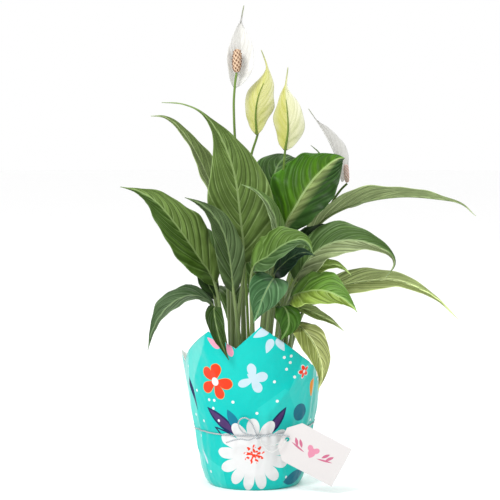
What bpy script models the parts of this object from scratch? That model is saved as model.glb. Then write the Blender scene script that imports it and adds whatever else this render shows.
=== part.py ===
"""Potted peace lily in a printed gift wrap, tied with string and a tag.

Values below are in millimetres; the model is built in metres, +Z up, with the
pot's axis on the Z axis and the surface it stands on at Z = 0.  The front of
the plant looks along -Y.
"""

import math

import bmesh
import bpy
from mathutils import Vector

MM = 0.001
GAP = 0.3

# Nursery pot and soil
POT_RIM_RADIUS = 65.0
POT_BASE_RADIUS = 48.0
POT_HEIGHT = 116.0
POT_WALL = 1.2
POT_LIP = 9.0
SOIL_TOP = 100.0
TURNED_STEPS = 40

# Film wrap: outer radius by height, and the height of its cut edge by azimuth.
# Azimuth is in degrees from the front (-Y), positive towards +X.
WRAP_WALL = 0.8
WRAP_PROFILE = [(0, 50), (6, 54), (19, 58.5), (52, 64), (68, 67), (85, 70), (112, 73), (140, 75), (190, 77)]
WRAP_EDGE = [
    (-180, 128), (-150, 138), (-125, 130), (-105, 146), (-90, 135), (-40, 175), (-15, 158),
    (5, 182), (55, 137), (75, 134), (95, 123), (120, 119), (150, 136), (180, 128),
]
WRAP_CORNER_AZIMUTH = -107.0
WRAP_CORNER_REACH = 9.0
WRAP_CORNER_SPREAD = 13.0
WRAP_COLUMNS = 72
WRAP_ROWS = [0.0, 0.05, 0.14, 0.3, 0.45, 0.6, 0.8, 1.0]

# String, knot, thread and tag
STRING_RADIUS = 0.75
STRING_HEIGHT = 67.0
STRING_RISE = 4.5
KNOT_CENTRE = (4.0, -71.6, 63.0)
KNOT_RADIUS = 2.6
THREAD_RADIUS = 0.45
TAG_SIZE = (72.0, 46.0)
TAG_CLIP = 12.0
TAG_THICKNESS = 0.6
TAG_CENTRE = (62.0, -75.0, 46.5)
TAG_TILT = -28.0
TAG_HOLE_RADIUS = 2.5
TAG_HOLE_INSET = 6.0

BOW_LOOP = [
    (2.6, -74.4, 65.4), (-0.5, -73.5, 73), (-4, -73, 80), (-9, -73, 83.5), (-14, -73, 82.5),
    (-17, -72.6, 77.5), (-14.5, -72.4, 70.5), (-9, -72.6, 66.5), (-2, -73.4, 65),
]
TAIL_RIGHT = [(7.4, -73.2, 63.4), (14, -75.6, 64.5), (22, -77.2, 66.5), (30, -77.8, 66), (38, -77.6, 64)]
TAIL_LEFT = [(0.6, -73.2, 62), (-6, -73.6, 59.5), (-14, -72.8, 60.5), (-22, -71.4, 59), (-30, -69.8, 56)]
TAG_THREAD = [
    (6, -74.4, 61), (11, -77, 52), (19, -78.6, 47.5), (28, -79, 53), (34, -77.6, 59.6),
    (35.5, -75, 60.6), (33.5, -72.8, 59.6), (28, -72.3, 57), (20, -73.2, 53.5), (11, -73.6, 56),
    (7, -74.2, 57.8),
]

# Leaves: "stem" runs from the soil to the blade, "blade" along its midrib to the tip.
# "half" is the half width, "face" where the upper side looks, from base to tip, and
# "fold" how far each half, left and right of the midrib, rises from the flat, in degrees.
PETIOLE_RADIUS = 2.1
BLADE_THICKNESS = 1.0
TIP_HALF_WIDTH = 0.6
STEM_STATIONS = 5
BLADE_STATIONS = 10
LEAVES = {
    "leaf_tall_left": dict(
        stem=[(-14, -10), (-18, -21, 170)],
        blade=[(-11, -26, 245), (-15, -38, 299), (-22, -44, 346), (-37, -36, 384), (-56, -22, 408),
               (-77, -9, 418), (-101, -2, 420)],
        half=38, face=[(-0.1, -1, 0.1), (0, -1, 0.1), (0.5, -0.8, 0.6), (0.3, -0.5, 0.8)], fold=(24, 16),
        widest=0.29, taper=3.0),
    "leaf_slim_upper_left": dict(
        stem=[(-22, 12), (-24, 20, 190)],
        blade=[(-26, 24, 265), (-44, 28, 318), (-64, 30, 363), (-82, 28, 390), (-98, 25, 403),
               (-114, 22, 405)],
        half=20, face=[(0.7, -0.5, 0.5), (0.6, -0.5, 0.6)], fold=(24, 24)),
    "leaf_broad_left": dict(
        stem=[(-24, -10), (-34, -24, 170)],
        blade=[(-42, -34, 222), (-60, -46, 254), (-83, -54, 288), (-104, -55, 313), (-124, -52, 325),
               (-144, -48, 330)],
        half=29, face=[(0.4, -0.8, 0.4), (0.3, -0.7, 0.7)], fold=(18, 18), widest=0.42, taper=1.0),
    "leaf_dark_left": dict(
        stem=[(-12, -26), (-17, -38, 170)],
        blade=[(-22, -50, 216), (-27, -58, 258), (-34, -63, 284), (-46, -64, 303), (-59, -62, 313),
               (-74, -58, 319)],
        half=17, face=[(0.1, -1, 0.2), (0.5, -0.8, 0.4)], fold=(22, 22)),
    "leaf_low_left": dict(
        stem=[(-32, -6), (-38, -14, 150)],
        blade=[(-44, -20, 196), (-61, -30, 210), (-79, -38, 209), (-96, -44, 197), (-108, -47, 178),
               (-115, -48, 153)],
        half=17, face=[(-0.2, -0.5, 0.9), (-0.5, -0.6, 0.6), (-0.8, -0.5, 0.2)], fold=(22, 22)),
    "leaf_shade_left": dict(
        stem=[(-30, 4), (-36, -2, 160)],
        blade=[(-43, -6, 204), (-50, -8, 220), (-55, -8, 234), (-60, -6, 248), (-66, -2, 262)],
        half=13, face=[(0.4, -0.8, 0.4), (0.3, -0.7, 0.7)], fold=(20, 20)),
    "leaf_curled_front": dict(
        stem=[(-22, -24), (-32, -38, 160)],
        blade=[(-40, -48, 196), (-43, -62, 199), (-41, -76, 187), (-37, -82, 171), (-32, -83, 158),
               (-27, -82, 147)],
        half=10, face=[(0.1, -0.4, 0.9), (-0.2, -1, 0.3), (-0.2, -1, 0.1)], fold=(15, 15)),
    "leaf_broad_right": dict(
        stem=[(10, 0), (19, -6, 180)],
        blade=[(31, -16, 274), (46, -18, 308), (63, -14, 334), (79, -6, 350), (91, 2, 358),
               (100, 8, 359)],
        half=40, face=[(-0.4, -0.9, 0.3), (-0.3, -0.9, 0.4), (-0.1, -0.8, 0.6)], fold=(12, 24),
        widest=0.48, taper=0.3),
    "leaf_round_back": dict(
        stem=[(4, 16), (12, 22, 200)],
        blade=[(17, 24, 275), (18, 24, 306), (21, 26, 333), (28, 32, 352), (40, 42, 359), (52, 54, 352)],
        half=27, face=[(-0.1, -1, 0.1), (-0.1, -0.8, 0.5), (-0.1, -0.3, 1)], fold=(14, 14), widest=0.45),
    "leaf_long_right": dict(
        stem=[(20, 14), (32, 14, 180)],
        blade=[(56, 13, 262), (74, 12, 288), (98, 9, 303), (130, 4, 313), (166, 0, 317), (204, -4, 314),
               (227, -6, 309), (243, -8, 296)],
        half=21, face=[(-0.4, 0.4, 0.8), (0, 0.5, 0.9), (0, 0.2, 1)], fold=(30, 30)),
    "leaf_arched_right": dict(
        stem=[(16, -14), (28, -26, 180)],
        blade=[(44, -33, 226), (64, -38, 256), (87, -46, 270), (112, -52, 272), (133, -56, 266),
               (147, -58, 257), (150, -58, 246), (141, -58, 233)],
        half=25, face=[(-0.4, -0.7, 0.6), (-0.1, -0.7, 0.7), (0.2, -0.7, 0.7), (0.8, -0.6, 0.2)],
        fold=(24, 16), widest=0.34, taper=1.4),
    "leaf_shade_right": dict(
        stem=[(20, 2), (30, -2, 190)],
        blade=[(44, -8, 246), (58, -12, 264), (74, -14, 274), (90, -14, 275), (102, -14, 270),
               (110, -12, 262)],
        half=19, face=[(-0.3, -0.7, 0.6), (0.2, -0.6, 0.8)], fold=(20, 20)),
    "leaf_broad_low_right": dict(
        stem=[(24, -30), (30, -38, 165)],
        blade=[(39, -45, 207), (55, -63, 218), (74, -82, 221), (92, -94, 215), (103, -101, 207),
               (108, -105, 201)],
        half=26, face=[(-0.2, -0.7, 0.7), (0, -0.8, 0.6)], fold=(16, 16)),
    "leaf_thin_mid_right": dict(
        stem=[(28, -4), (34, -11, 170)],
        blade=[(41, -20, 210), (53, -33, 231), (69, -37, 242), (86, -39, 245), (97, -39, 241),
               (105, -37, 234)],
        half=13, face=[(-0.3, -0.7, 0.6), (0.2, -0.7, 0.7)], fold=(22, 22)),
    "leaf_long_low_right": dict(
        stem=[(30, 4), (40, 2, 150)],
        blade=[(58, -4, 198), (76, -9, 213), (100, -15, 221), (127, -20, 226), (154, -24, 227),
               (177, -26, 219), (200, -26, 206), (223, -24, 184)],
        half=17, face=[(-0.3, -0.7, 0.6), (0, -0.6, 0.7), (0.4, -0.5, 0.8)], fold=(20, 12), widest=0.3,
        taper=1.0),
    "leaf_light_centre": dict(
        stem=[(0, -30), (-2, -46, 180)],
        blade=[(-2, -60, 240), (15, -74, 257), (31, -84, 270), (46, -90, 276), (56, -92, 273),
               (62, -92, 262)],
        half=25, face=[(-0.4, -0.6, 0.7), (-0.2, -0.7, 0.7), (0.2, -0.7, 0.7)], fold=(30, 20)),
    "leaf_shade_centre": dict(
        stem=[(10, -10), (15, -24, 180)],
        blade=[(21, -36, 230), (31, -47, 246), (43, -55, 256), (54, -60, 260), (65, -62, 257)],
        half=15, face=[(-0.3, -0.8, 0.5), (0, -0.8, 0.6)], fold=(14, 14)),
    "leaf_slim_centre": dict(
        stem=[(4, -22), (10, -37, 180)],
        blade=[(23, -48, 262), (24, -54, 290), (15, -60, 312), (2, -63, 326), (-13, -63, 333)],
        half=9, face=[(0.3, -0.9, 0.2), (0.4, -0.6, 0.7)], fold=(26, 26)),
    "leaf_hanging_centre": dict(
        stem=[(8, -38), (16, -52, 190)],
        blade=[(21, -60, 226), (21, -70, 233), (16, -79, 227), (9, -82, 213), (4, -82, 199),
               (-1, -80, 186)],
        half=20, face=[(0.2, 0, 1), (0.1, -1, 0.2), (0, -1, 0)], fold=(14, 14)),
    "leaf_hanging_right": dict(
        stem=[(16, -40), (24, -52, 165)],
        blade=[(27, -61, 197), (32, -67, 202), (36, -72, 195), (37, -73, 185), (34, -72, 176),
               (28, -68, 166)],
        half=14, face=[(0.2, 0.2, 1), (0.1, -1, 0.2), (0, -1, 0)], fold=(12, 12)),
    "leaf_strap_low_right": dict(
        stem=[(30, -18), (35, -28, 160)],
        blade=[(38, -38, 196), (53, -48, 198), (69, -55, 192), (84, -59, 185), (96, -61, 176)],
        half=8, face=[(0, -0.6, 0.8), (0.2, -0.8, 0.5)], fold=(20, 20)),
    "leaf_drooping_front": dict(
        stem=[(32, -30), (38, -40, 150)],
        blade=[(43, -50, 180), (52, -64, 178), (63, -77, 165), (70, -84, 148), (72, -87, 132),
               (68, -87, 115)],
        half=16, face=[(-0.1, -0.4, 0.9), (0.3, -0.9, 0.2), (0.2, -1, 0)], fold=(14, 14)),
    "leaf_back_left": dict(
        stem=[(-28, 18), (-38, 30, 170)],
        blade=[(-42, 44, 222), (-52, 62, 252), (-62, 84, 272), (-72, 106, 280), (-82, 126, 276),
               (-90, 142, 264)],
        half=14, face=[(0.4, -0.6, 0.7), (0.2, -0.4, 0.9)], fold=(20, 20)),
    "leaf_back_upright": dict(
        stem=[(-10, 24), (-12, 34, 190)],
        blade=[(-12, 46, 250), (-14, 66, 300), (-16, 90, 330), (-18, 118, 344), (-20, 146, 338),
               (-21, 168, 318)],
        half=27, face=[(0, -0.8, 0.5), (0, -0.3, 1), (0, 0.5, 0.9)], fold=(18, 18)),
    "leaf_back_centre": dict(
        stem=[(14, 28), (15, 38, 150)],
        blade=[(11, 50, 190), (7, 72, 236), (5, 100, 266), (7, 130, 274), (11, 158, 264), (15, 180, 242)],
        half=24, face=[(0, -0.7, 0.6), (0, -0.2, 1), (0, 0.6, 0.8)], fold=(18, 18)),
    "leaf_back_right": dict(
        stem=[(26, 22), (36, 32, 160)],
        blade=[(46, 42, 212), (60, 56, 236), (75, 72, 250), (88, 88, 257), (98, 102, 257),
               (105, 112, 253)],
        half=15, face=[(-0.3, -0.5, 0.8), (0.1, -0.4, 0.9), (0.5, 0.2, 0.8)], fold=(20, 20)),
    "leaf_back_tall_right": dict(
        stem=[(10, 22), (18, 32, 190)],
        blade=[(29, 46, 262), (44, 55, 300), (60, 64, 330), (71, 72, 350), (74, 78, 362), (65, 84, 371)],
        half=20, taper=1.6, face=[(0, -0.8, 0.5), (0, -0.3, 1), (0, 0.5, 0.9)], fold=(18, 18)),
    "leaf_back_middle_left": dict(
        stem=[(-22, 28), (-27, 40, 170)],
        blade=[(-30, 54, 220), (-34, 76, 250), (-38, 99, 266), (-42, 120, 268), (-46, 140, 260),
               (-50, 156, 246)],
        half=14, face=[(0.1, -0.6, 0.7), (0, -0.2, 1), (-0.1, 0.5, 0.9)], fold=(18, 18)),
    "leaf_back_low_right": dict(
        stem=[(20, 36), (24, 45, 140)],
        blade=[(28, 54, 172), (32, 72, 192), (35, 93, 196), (37, 112, 184), (38, 126, 162),
               (38, 136, 138)],
        half=16, face=[(0, -0.4, 0.9), (0, 0.3, 1), (0, 0.9, 0.4)], fold=(16, 16)),
    "leaf_back_low": dict(
        stem=[(-14, 34), (-18, 44, 140)],
        blade=[(-20, 54, 176), (-22, 74, 200), (-24, 98, 206), (-25, 120, 192), (-26, 136, 168),
               (-27, 146, 142)],
        half=19, face=[(0, -0.4, 0.9), (0, 0.3, 1), (0, 0.9, 0.4)], fold=(16, 16)),
}

# Flowers: "stalk" runs from the soil to the foot of the spadix, "spathe" along the hood.
STALK_RADIUS = 1.6
STALK_POINTS = 22
SPATHE_THICKNESS = 0.9
FLOWERS = {
    1: dict(
        stalk=[(-4, 4), (-9, 12, 220), (-19, 8, 350), (-22, -8, 410), (-21, -14, 436), (-19, -15.5, 452)],
        spadix=[(-19, -15.7, 452.4), (-18, -15.5, 478)],
        spathe=[(-21, -9.5, 436), (-17.5, -7.5, 450), (-15, -5, 468), (-15, -5, 488), (-14.5, -8, 505),
                (-11, -10, 525)],
        half=15.5, face=[(0.1, -1, 0.1), (0, -1, 0)], fold=(20, 20), widest=0.44,
        taper=0.0, tail=0.2, spadix_radius=5.6),
    2: dict(
        stalk=[(0, 18), (-2, 20, 240), (-6, 14, 340), (4, 8, 385), (8, 7.5, 405)],
        spadix=[(8, 7.5, 405.4), (10, 8.5, 424)],
        spathe=[(3, 2, 385), (2, -3, 408), (5, -5, 427), (12, -2, 445), (14, 2, 459), (8, 5, 477)],
        half=19, face=[(0.25, 1, 0), (0.3, 1, 0)], fold=(30, 30), widest=0.46, taper=0.3, tail=0.2,
        spadix_radius=3.4),
    3: dict(
        stalk=[(10, 10), (20, 12, 230), (30, 6, 320), (34, -4, 367), (36, -6.5, 384)],
        spadix=[(36, -6.5, 384.4), (36, -6, 404)],
        spathe=[(34, -9.5, 368), (37, -15, 390), (36, -17, 411), (34, -14, 430), (35, -9, 442),
                (37, -5, 458)],
        half=19, face=[(0.1, 1, 0), (0.1, 1, 0)], fold=(26, 30), widest=0.42, taper=0.3, tail=0.2,
        spadix_radius=3.4),
    4: dict(
        stalk=[(19, 23), (40, 33, 220), (73, 34, 282), (87, 28, 309), (96, 21, 323), (103, 18, 330.2)],
        spadix=[(103, 18, 331.2), (101.5, 17, 352)],
        spathe=[(98, 24, 332), (94, 27, 350), (88, 27, 367), (80, 24, 383), (71, 20, 397), (60, 14, 413)],
        half=15, face=[(0.9, -0.5, 0.1), (0.7, -0.5, 0.4)], fold=(26, 26), widest=0.4, taper=0.5,
        tail=0.15, spadix_radius=3.2),
}


def clear_scene():
    for old in list(bpy.data.objects):
        bpy.data.objects.remove(old, do_unlink=True)


def make_collection(name):
    group = bpy.data.collections.new(name)
    bpy.context.scene.collection.children.link(group)
    return group


def make_material(name, colour, roughness, metallic=0.0):
    material = bpy.data.materials.new(name)
    material.use_nodes = True
    shader = material.node_tree.nodes["Principled BSDF"]
    shader.inputs["Base Color"].default_value = (*colour, 1.0)
    shader.inputs["Roughness"].default_value = roughness
    shader.inputs["Metallic"].default_value = metallic
    return material


def add_object(name, data, material, group):
    data.materials.append(material)
    piece = bpy.data.objects.new(name, data)
    group.objects.link(piece)
    return piece


def shade_smooth(mesh, angle=40.0):
    mesh.shade_smooth()
    mesh.set_sharp_from_angle(angle=math.radians(angle))


def catmull_rom(before, start, end, after, part):
    """Point at `part` (0 to 1) of the smooth curve between start and end."""
    square = part * part
    cube = square * part
    return 0.5 * (
        2 * start
        + (end - before) * part
        + (2 * before - 5 * start + 4 * end - after) * square
        + (3 * start - before - 3 * end + after) * cube
    )


class Spine:
    """Smooth curve through points, read by its length."""

    def __init__(self, points, steps=16):
        points = [Vector(point) for point in points]
        ends = [2 * points[0] - points[1]] + points + [2 * points[-1] - points[-2]]
        self.samples = [points[0]]
        self.lengths = [0.0]
        self.knots = [0.0]
        for index in range(1, len(ends) - 2):
            for step in range(1, steps + 1):
                spot = catmull_rom(*ends[index - 1:index + 3], step / steps)
                self.lengths.append(self.lengths[-1] + (spot - self.samples[-1]).length)
                self.samples.append(spot)
            self.knots.append(self.lengths[-1])
        self.length = self.lengths[-1]

    def at(self, length):
        length = min(max(length, 0.0), self.length)
        index = 1
        while self.lengths[index] < length:
            index += 1
        span = self.lengths[index] - self.lengths[index - 1]
        part = (length - self.lengths[index - 1]) / span
        return self.samples[index - 1].lerp(self.samples[index], part)

    def tangent(self, length, reach=2.0):
        return (self.at(length + reach) - self.at(length - reach)).normalized()


def read_table(table, place):
    """Value of a periodic or plain table of (place, value) pairs, joined by straight lines."""
    if place <= table[0][0]:
        return table[0][1]
    for (start, low), (end, high) in zip(table, table[1:]):
        if place <= end:
            return low + (high - low) * (place - start) / (end - start)
    return table[-1][1]


def outline(part, widest=0.38, taper=0.7, tail=0.0):
    """Share of the half width at a share of the length, with a drawn-out tail at the tip."""
    body = min(part / (1 - tail), 1.0)
    body = math.sin(math.pi * body ** (math.log(0.5) / math.log(widest))) ** (0.8 + taper * body)
    point = 0.35 * tail * min(max((1 - part) / 0.3, 0.0), 1.0)
    return (body ** 3 + point ** 3) ** (1 / 3)


def face_at(faces, part):
    place = part * (len(faces) - 1)
    index = min(int(place), len(faces) - 2)
    return Vector(faces[index]).lerp(Vector(faces[index + 1]), place - index).normalized()


def blade_ring(spot, side, normal, half, fold, thickness):
    """Eight points round a folded blade: edge, three above, edge, three below."""
    ring = []
    for across, level in ((-1, 0), (-0.5, 1), (0, 1), (0.5, 1), (1, 0), (0.5, -1), (0, -1), (-0.5, -1)):
        angle = math.radians(fold[0] if across < 0 else fold[1])
        out = across * half * math.cos(angle)
        rise = abs(across) * half * math.sin(angle) + level * thickness / 2
        ring.append(spot + side * out + normal * rise)
    return ring


def stem_ring(spot, side, normal, radius):
    ring = []
    for index in range(8):
        angle = math.pi - index * math.pi / 4
        ring.append(spot + side * radius * math.cos(angle) + normal * radius * math.sin(angle))
    return ring


def loft(name, rings, material, group):
    """Closed solid through rings of equal counts, capped at both ends."""
    work = bmesh.new()
    rows = [[work.verts.new(point * MM) for point in ring] for ring in rings]
    count = len(rings[0])
    for lower, upper in zip(rows, rows[1:]):
        for index in range(count):
            following = (index + 1) % count
            corners = (lower[index], lower[following], upper[following], upper[index])
            # both sides of a twisted blade are split along the same diagonal, so they stay apart
            first = 0 if index < count // 2 else 1
            work.faces.new((corners[first], corners[first + 1], corners[first + 2]))
            work.faces.new((corners[first], corners[first + 2], corners[(first + 3) % 4]))
    work.faces.new(rows[0])
    work.faces.new(rows[-1])
    bmesh.ops.recalc_face_normals(work, faces=work.faces)
    mesh = bpy.data.meshes.new(name)
    work.to_mesh(mesh)
    work.free()
    shade_smooth(mesh)
    return add_object(name, mesh, material, group)


def blade_rings(spine, start, shape, thickness, stem_radius):
    contour = {key: shape[key] for key in ("widest", "taper", "tail") if key in shape}
    rings = []
    for index in range(BLADE_STATIONS + 1):
        part = index / BLADE_STATIONS
        length = start + (spine.length - start) * part
        tangent = spine.tangent(length)
        side = tangent.cross(face_at(shape["face"], part)).normalized()
        normal = side.cross(tangent)
        ease = min(part / 0.12, 1.0)
        smallest = stem_radius + (TIP_HALF_WIDTH - stem_radius) * ease
        half = max(shape["half"] * outline(part, **contour), smallest)
        deep = 2 * stem_radius + (thickness - 2 * stem_radius) * ease
        fold = [angle * ease for angle in shape["fold"]]
        rings.append(blade_ring(spine.at(length), side, normal, half, fold, deep))
    return rings


def make_leaf(name, shape, material, group):
    root = (*shape["stem"][0], SOIL_TOP + 3 * GAP)
    points = [root] + shape["stem"][1:] + shape["blade"]
    spine = Spine(points)
    start = spine.knots[len(shape["stem"])]
    rings = []
    for index in range(STEM_STATIONS):
        length = start * index / STEM_STATIONS
        tangent = spine.tangent(length) if index else Vector((0, 0, 1))
        side = tangent.cross(Vector(shape["face"][0])).normalized()
        rings.append(stem_ring(spine.at(length), side, side.cross(tangent), PETIOLE_RADIUS))
    rings += blade_rings(spine, start, shape, BLADE_THICKNESS, 0.8 * PETIOLE_RADIUS)
    return loft(name, rings, material, group)


def make_tube(name, points, radius, material, group, rounding=2, closed=False):
    curve = bpy.data.curves.new(name, "CURVE")
    curve.dimensions = "3D"
    curve.bevel_depth = radius * MM
    curve.bevel_resolution = rounding
    curve.use_fill_caps = not closed
    spline = curve.splines.new("POLY")
    spline.points.add(len(points) - 1)
    for target, point in zip(spline.points, points):
        target.co = (*(Vector(point) * MM), 1.0)
    spline.use_cyclic_u = closed
    return add_object(name, curve, material, group)


def make_cord(name, route, radius, count, material, group):
    spine = Spine(route)
    points = [spine.at(spine.length * index / (count - 1)) for index in range(count)]
    return make_tube(name, points, radius, material, group)


def make_egg(name, centre, radii, axis, material, group, segments=12, rings=8):
    mesh = bpy.data.meshes.new(name)
    work = bmesh.new()
    bmesh.ops.create_uvsphere(work, u_segments=segments, v_segments=rings, radius=1.0)
    work.to_mesh(mesh)
    work.free()
    turn = Vector((0, 0, 1)).rotation_difference(Vector(axis)).to_matrix()
    for vertex in mesh.vertices:
        local = Vector([value * radius for value, radius in zip(vertex.co, radii)])
        vertex.co = (Vector(centre) + turn @ local) * MM
    shade_smooth(mesh)
    return add_object(name, mesh, material, group)


def make_flower(number, shape, materials, group):
    root = (*shape["stalk"][0], SOIL_TOP + 3 * GAP)
    make_cord(f"flower_stalk_{number}", [root] + shape["stalk"][1:], STALK_RADIUS, STALK_POINTS,
              materials["stalk"], group)
    foot, top = (Vector(point) for point in shape["spadix"])
    radius = shape["spadix_radius"]
    half_length = (top - foot).length / 2
    make_egg(f"spadix_{number}", (foot + top) / 2, (radius, radius, half_length), top - foot,
             materials["spadix"], group)
    rings = blade_rings(Spine(shape["spathe"]), 0.0, shape, SPATHE_THICKNESS, 1.2)
    loft(f"spathe_{number}", rings, materials["spathe"], group)


def make_turned(name, profile, material, group):
    """Solid turned about Z from (radius, height) pairs that run down its outer side."""
    mesh = bpy.data.meshes.new(name)
    corners = [(radius * MM, 0.0, height * MM) for radius, height in profile]
    mesh.from_pydata(corners, [(index, index + 1) for index in range(len(corners) - 1)], [])
    piece = add_object(name, mesh, material, group)
    turning = piece.modifiers.new("turning", "SCREW")
    turning.steps = TURNED_STEPS
    turning.render_steps = TURNED_STEPS
    turning.use_merge_vertices = True
    turning.merge_threshold = 0.00001
    return piece


def pot_radius(height):
    return POT_BASE_RADIUS + (POT_RIM_RADIUS - 2 - POT_BASE_RADIUS) * height / POT_HEIGHT


def make_pot(material, group):
    floor = WRAP_WALL + GAP
    top = floor + POT_HEIGHT
    lip = top - POT_LIP
    wall = POT_WALL
    profile = [
        (0, floor + wall),
        (POT_BASE_RADIUS - wall, floor + wall),
        (pot_radius(POT_HEIGHT - POT_LIP) - wall, lip),
        (POT_RIM_RADIUS - wall, lip + 1),
        (POT_RIM_RADIUS - wall, top),
        (POT_RIM_RADIUS, top),
        (POT_RIM_RADIUS, lip),
        (pot_radius(POT_HEIGHT - POT_LIP), lip),
        (POT_BASE_RADIUS, floor),
        (0, floor),
    ]
    return make_turned("nursery_pot", profile, material, group)


def make_soil(material, group):
    floor = WRAP_WALL + GAP
    low = floor + POT_WALL + GAP
    inset = POT_WALL + 2 * GAP
    profile = [
        (0, SOIL_TOP),
        (pot_radius(SOIL_TOP - floor) - inset, SOIL_TOP),
        (POT_BASE_RADIUS - inset, low),
        (0, low),
    ]
    return make_turned("potting_soil", profile, material, group)


def wrap_radius(azimuth, height):
    away = (azimuth - WRAP_CORNER_AZIMUTH) / WRAP_CORNER_SPREAD
    lift = min(max((height - 75) / 70, 0.0), 1.0)
    return read_table(WRAP_PROFILE, height) + WRAP_CORNER_REACH * lift * math.exp(-away * away)


def around(azimuth, radius, height):
    turn = math.radians(azimuth)
    return Vector((radius * math.sin(turn), -radius * math.cos(turn), height))


def make_wrap(material, group):
    """Open cup of film, thickened inwards."""
    work = bmesh.new()
    rows = []
    for part in WRAP_ROWS:
        row = []
        for column in range(WRAP_COLUMNS):
            azimuth = -180 + 360 * column / WRAP_COLUMNS
            height = part * read_table(WRAP_EDGE, azimuth)
            row.append(work.verts.new(around(azimuth, wrap_radius(azimuth, height), height) * MM))
        rows.append(row)
    for lower, upper in zip(rows, rows[1:]):
        for column in range(WRAP_COLUMNS):
            following = (column + 1) % WRAP_COLUMNS
            work.faces.new((lower[column], lower[following], upper[following], upper[column]))
    work.faces.new(list(reversed(rows[0])))
    mesh = bpy.data.meshes.new("gift_sleeve")
    work.to_mesh(mesh)
    work.free()
    shade_smooth(mesh, 30.0)
    piece = add_object("gift_sleeve", mesh, material, group)
    film = piece.modifiers.new("film", "SOLIDIFY")
    film.thickness = WRAP_WALL * MM
    film.offset = -1.0
    film.use_even_offset = True
    return piece


def make_string(material, group):
    """Ring of string that lies on the wrap and rises towards the right."""
    points = []
    count = 64
    for index in range(count):
        azimuth = -180 + 360 * index / count
        height = STRING_HEIGHT + STRING_RISE * math.sin(math.radians(azimuth - 60))
        radius = wrap_radius(azimuth, height) + STRING_RADIUS + GAP + 0.2
        points.append(around(azimuth, radius, height))
    return make_tube("string_band", points, STRING_RADIUS, material, group, rounding=1, closed=True)


def make_tag(material, group):
    """Card with two clipped corners and a punched hole."""
    curve = bpy.data.curves.new("gift_tag", "CURVE")
    curve.dimensions = "2D"
    curve.fill_mode = "BOTH"
    curve.extrude = TAG_THICKNESS / 2 * MM
    long, high = TAG_SIZE[0] / 2, TAG_SIZE[1] / 2
    corners = [
        (-long, -high + TAG_CLIP), (-long + TAG_CLIP, -high), (long, -high),
        (long, high), (-long + TAG_CLIP, high), (-long, high - TAG_CLIP),
    ]
    hole = []
    for index in range(12):
        angle = math.tau * index / 12
        along = -long + TAG_HOLE_INSET + TAG_HOLE_RADIUS * math.cos(angle)
        hole.append((along, TAG_HOLE_RADIUS * math.sin(angle)))
    for loop in (corners, hole):
        spline = curve.splines.new("POLY")
        spline.points.add(len(loop) - 1)
        for target, (across, up) in zip(spline.points, loop):
            target.co = (across * MM, up * MM, 0.0, 1.0)
        spline.use_cyclic_u = True
    piece = add_object("gift_tag", curve, material, group)
    piece.location = Vector(TAG_CENTRE) * MM
    piece.rotation_euler = (math.radians(90), math.radians(-TAG_TILT), 0)
    return piece


def main():
    clear_scene()
    group = make_collection("potted_peace_lily")
    leaf_green = make_material("leaf_green", (0.07, 0.18, 0.04), 0.35)
    flower_materials = {
        "stalk": make_material("stalk_green", (0.25, 0.4, 0.12), 0.4),
        "spathe": make_material("spathe_white", (0.85, 0.88, 0.75), 0.45),
        "spadix": make_material("spadix_cream", (0.7, 0.5, 0.3), 0.7),
    }
    make_wrap(make_material("printed_film", (0.02, 0.6, 0.58), 0.2), group)
    make_pot(make_material("black_plastic", (0.02, 0.02, 0.02), 0.5), group)
    make_soil(make_material("potting_soil", (0.05, 0.03, 0.02), 0.95), group)
    for name, shape in LEAVES.items():
        make_leaf(name, shape, leaf_green, group)
    for number, shape in FLOWERS.items():
        make_flower(number, shape, flower_materials, group)
    silver = make_material("silver_string", (0.6, 0.62, 0.64), 0.4, 0.6)
    card = make_material("white_card", (0.9, 0.9, 0.9), 0.6)
    make_string(silver, group)
    make_egg("bow_knot", KNOT_CENTRE, (KNOT_RADIUS, KNOT_RADIUS * 0.8, KNOT_RADIUS), (0, 0, 1), silver, group)
    make_cord("bow_loop", BOW_LOOP, STRING_RADIUS, 24, silver, group)
    make_cord("bow_tail_right", TAIL_RIGHT, STRING_RADIUS, 16, silver, group)
    make_cord("bow_tail_left", TAIL_LEFT, STRING_RADIUS, 16, silver, group)
    make_cord("tag_loop", TAG_THREAD, THREAD_RADIUS, 34, card, group)
    make_tag(card, group)


main()
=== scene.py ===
import math
import random

import bpy
import numpy as np
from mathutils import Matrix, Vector


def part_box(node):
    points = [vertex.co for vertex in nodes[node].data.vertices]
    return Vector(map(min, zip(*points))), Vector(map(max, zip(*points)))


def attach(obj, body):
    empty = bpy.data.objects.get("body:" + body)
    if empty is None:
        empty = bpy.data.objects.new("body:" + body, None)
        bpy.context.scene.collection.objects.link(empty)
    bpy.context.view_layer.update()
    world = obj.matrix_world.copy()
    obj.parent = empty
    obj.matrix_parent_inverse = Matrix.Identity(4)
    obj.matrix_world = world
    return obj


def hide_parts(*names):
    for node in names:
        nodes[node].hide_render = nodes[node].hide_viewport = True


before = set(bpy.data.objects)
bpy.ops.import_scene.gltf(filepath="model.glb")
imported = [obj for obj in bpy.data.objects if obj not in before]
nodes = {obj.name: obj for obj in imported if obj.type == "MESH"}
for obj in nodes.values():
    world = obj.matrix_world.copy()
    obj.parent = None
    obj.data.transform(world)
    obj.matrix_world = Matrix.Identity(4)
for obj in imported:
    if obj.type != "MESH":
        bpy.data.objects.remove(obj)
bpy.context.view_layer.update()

mm = 0.001
print("frame loaded:", len(nodes), "nodes")


# helpers

def toLinear(hexColour, alpha=1.0):
    values = [int(hexColour[i:i + 2], 16) / 255 for i in (1, 3, 5)]
    return (*[v / 12.92 if v <= 0.04045 else ((v + 0.055) / 1.055) ** 2.4 for v in values], alpha)


def result(value):
    # the socket that carries a node's answer
    if not isinstance(value, bpy.types.Node):
        return value
    blendsColours = value.bl_idname == "ShaderNodeMix" and value.data_type == "RGBA"
    return value.outputs[2] if blendsColours else value.outputs[0]


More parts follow.
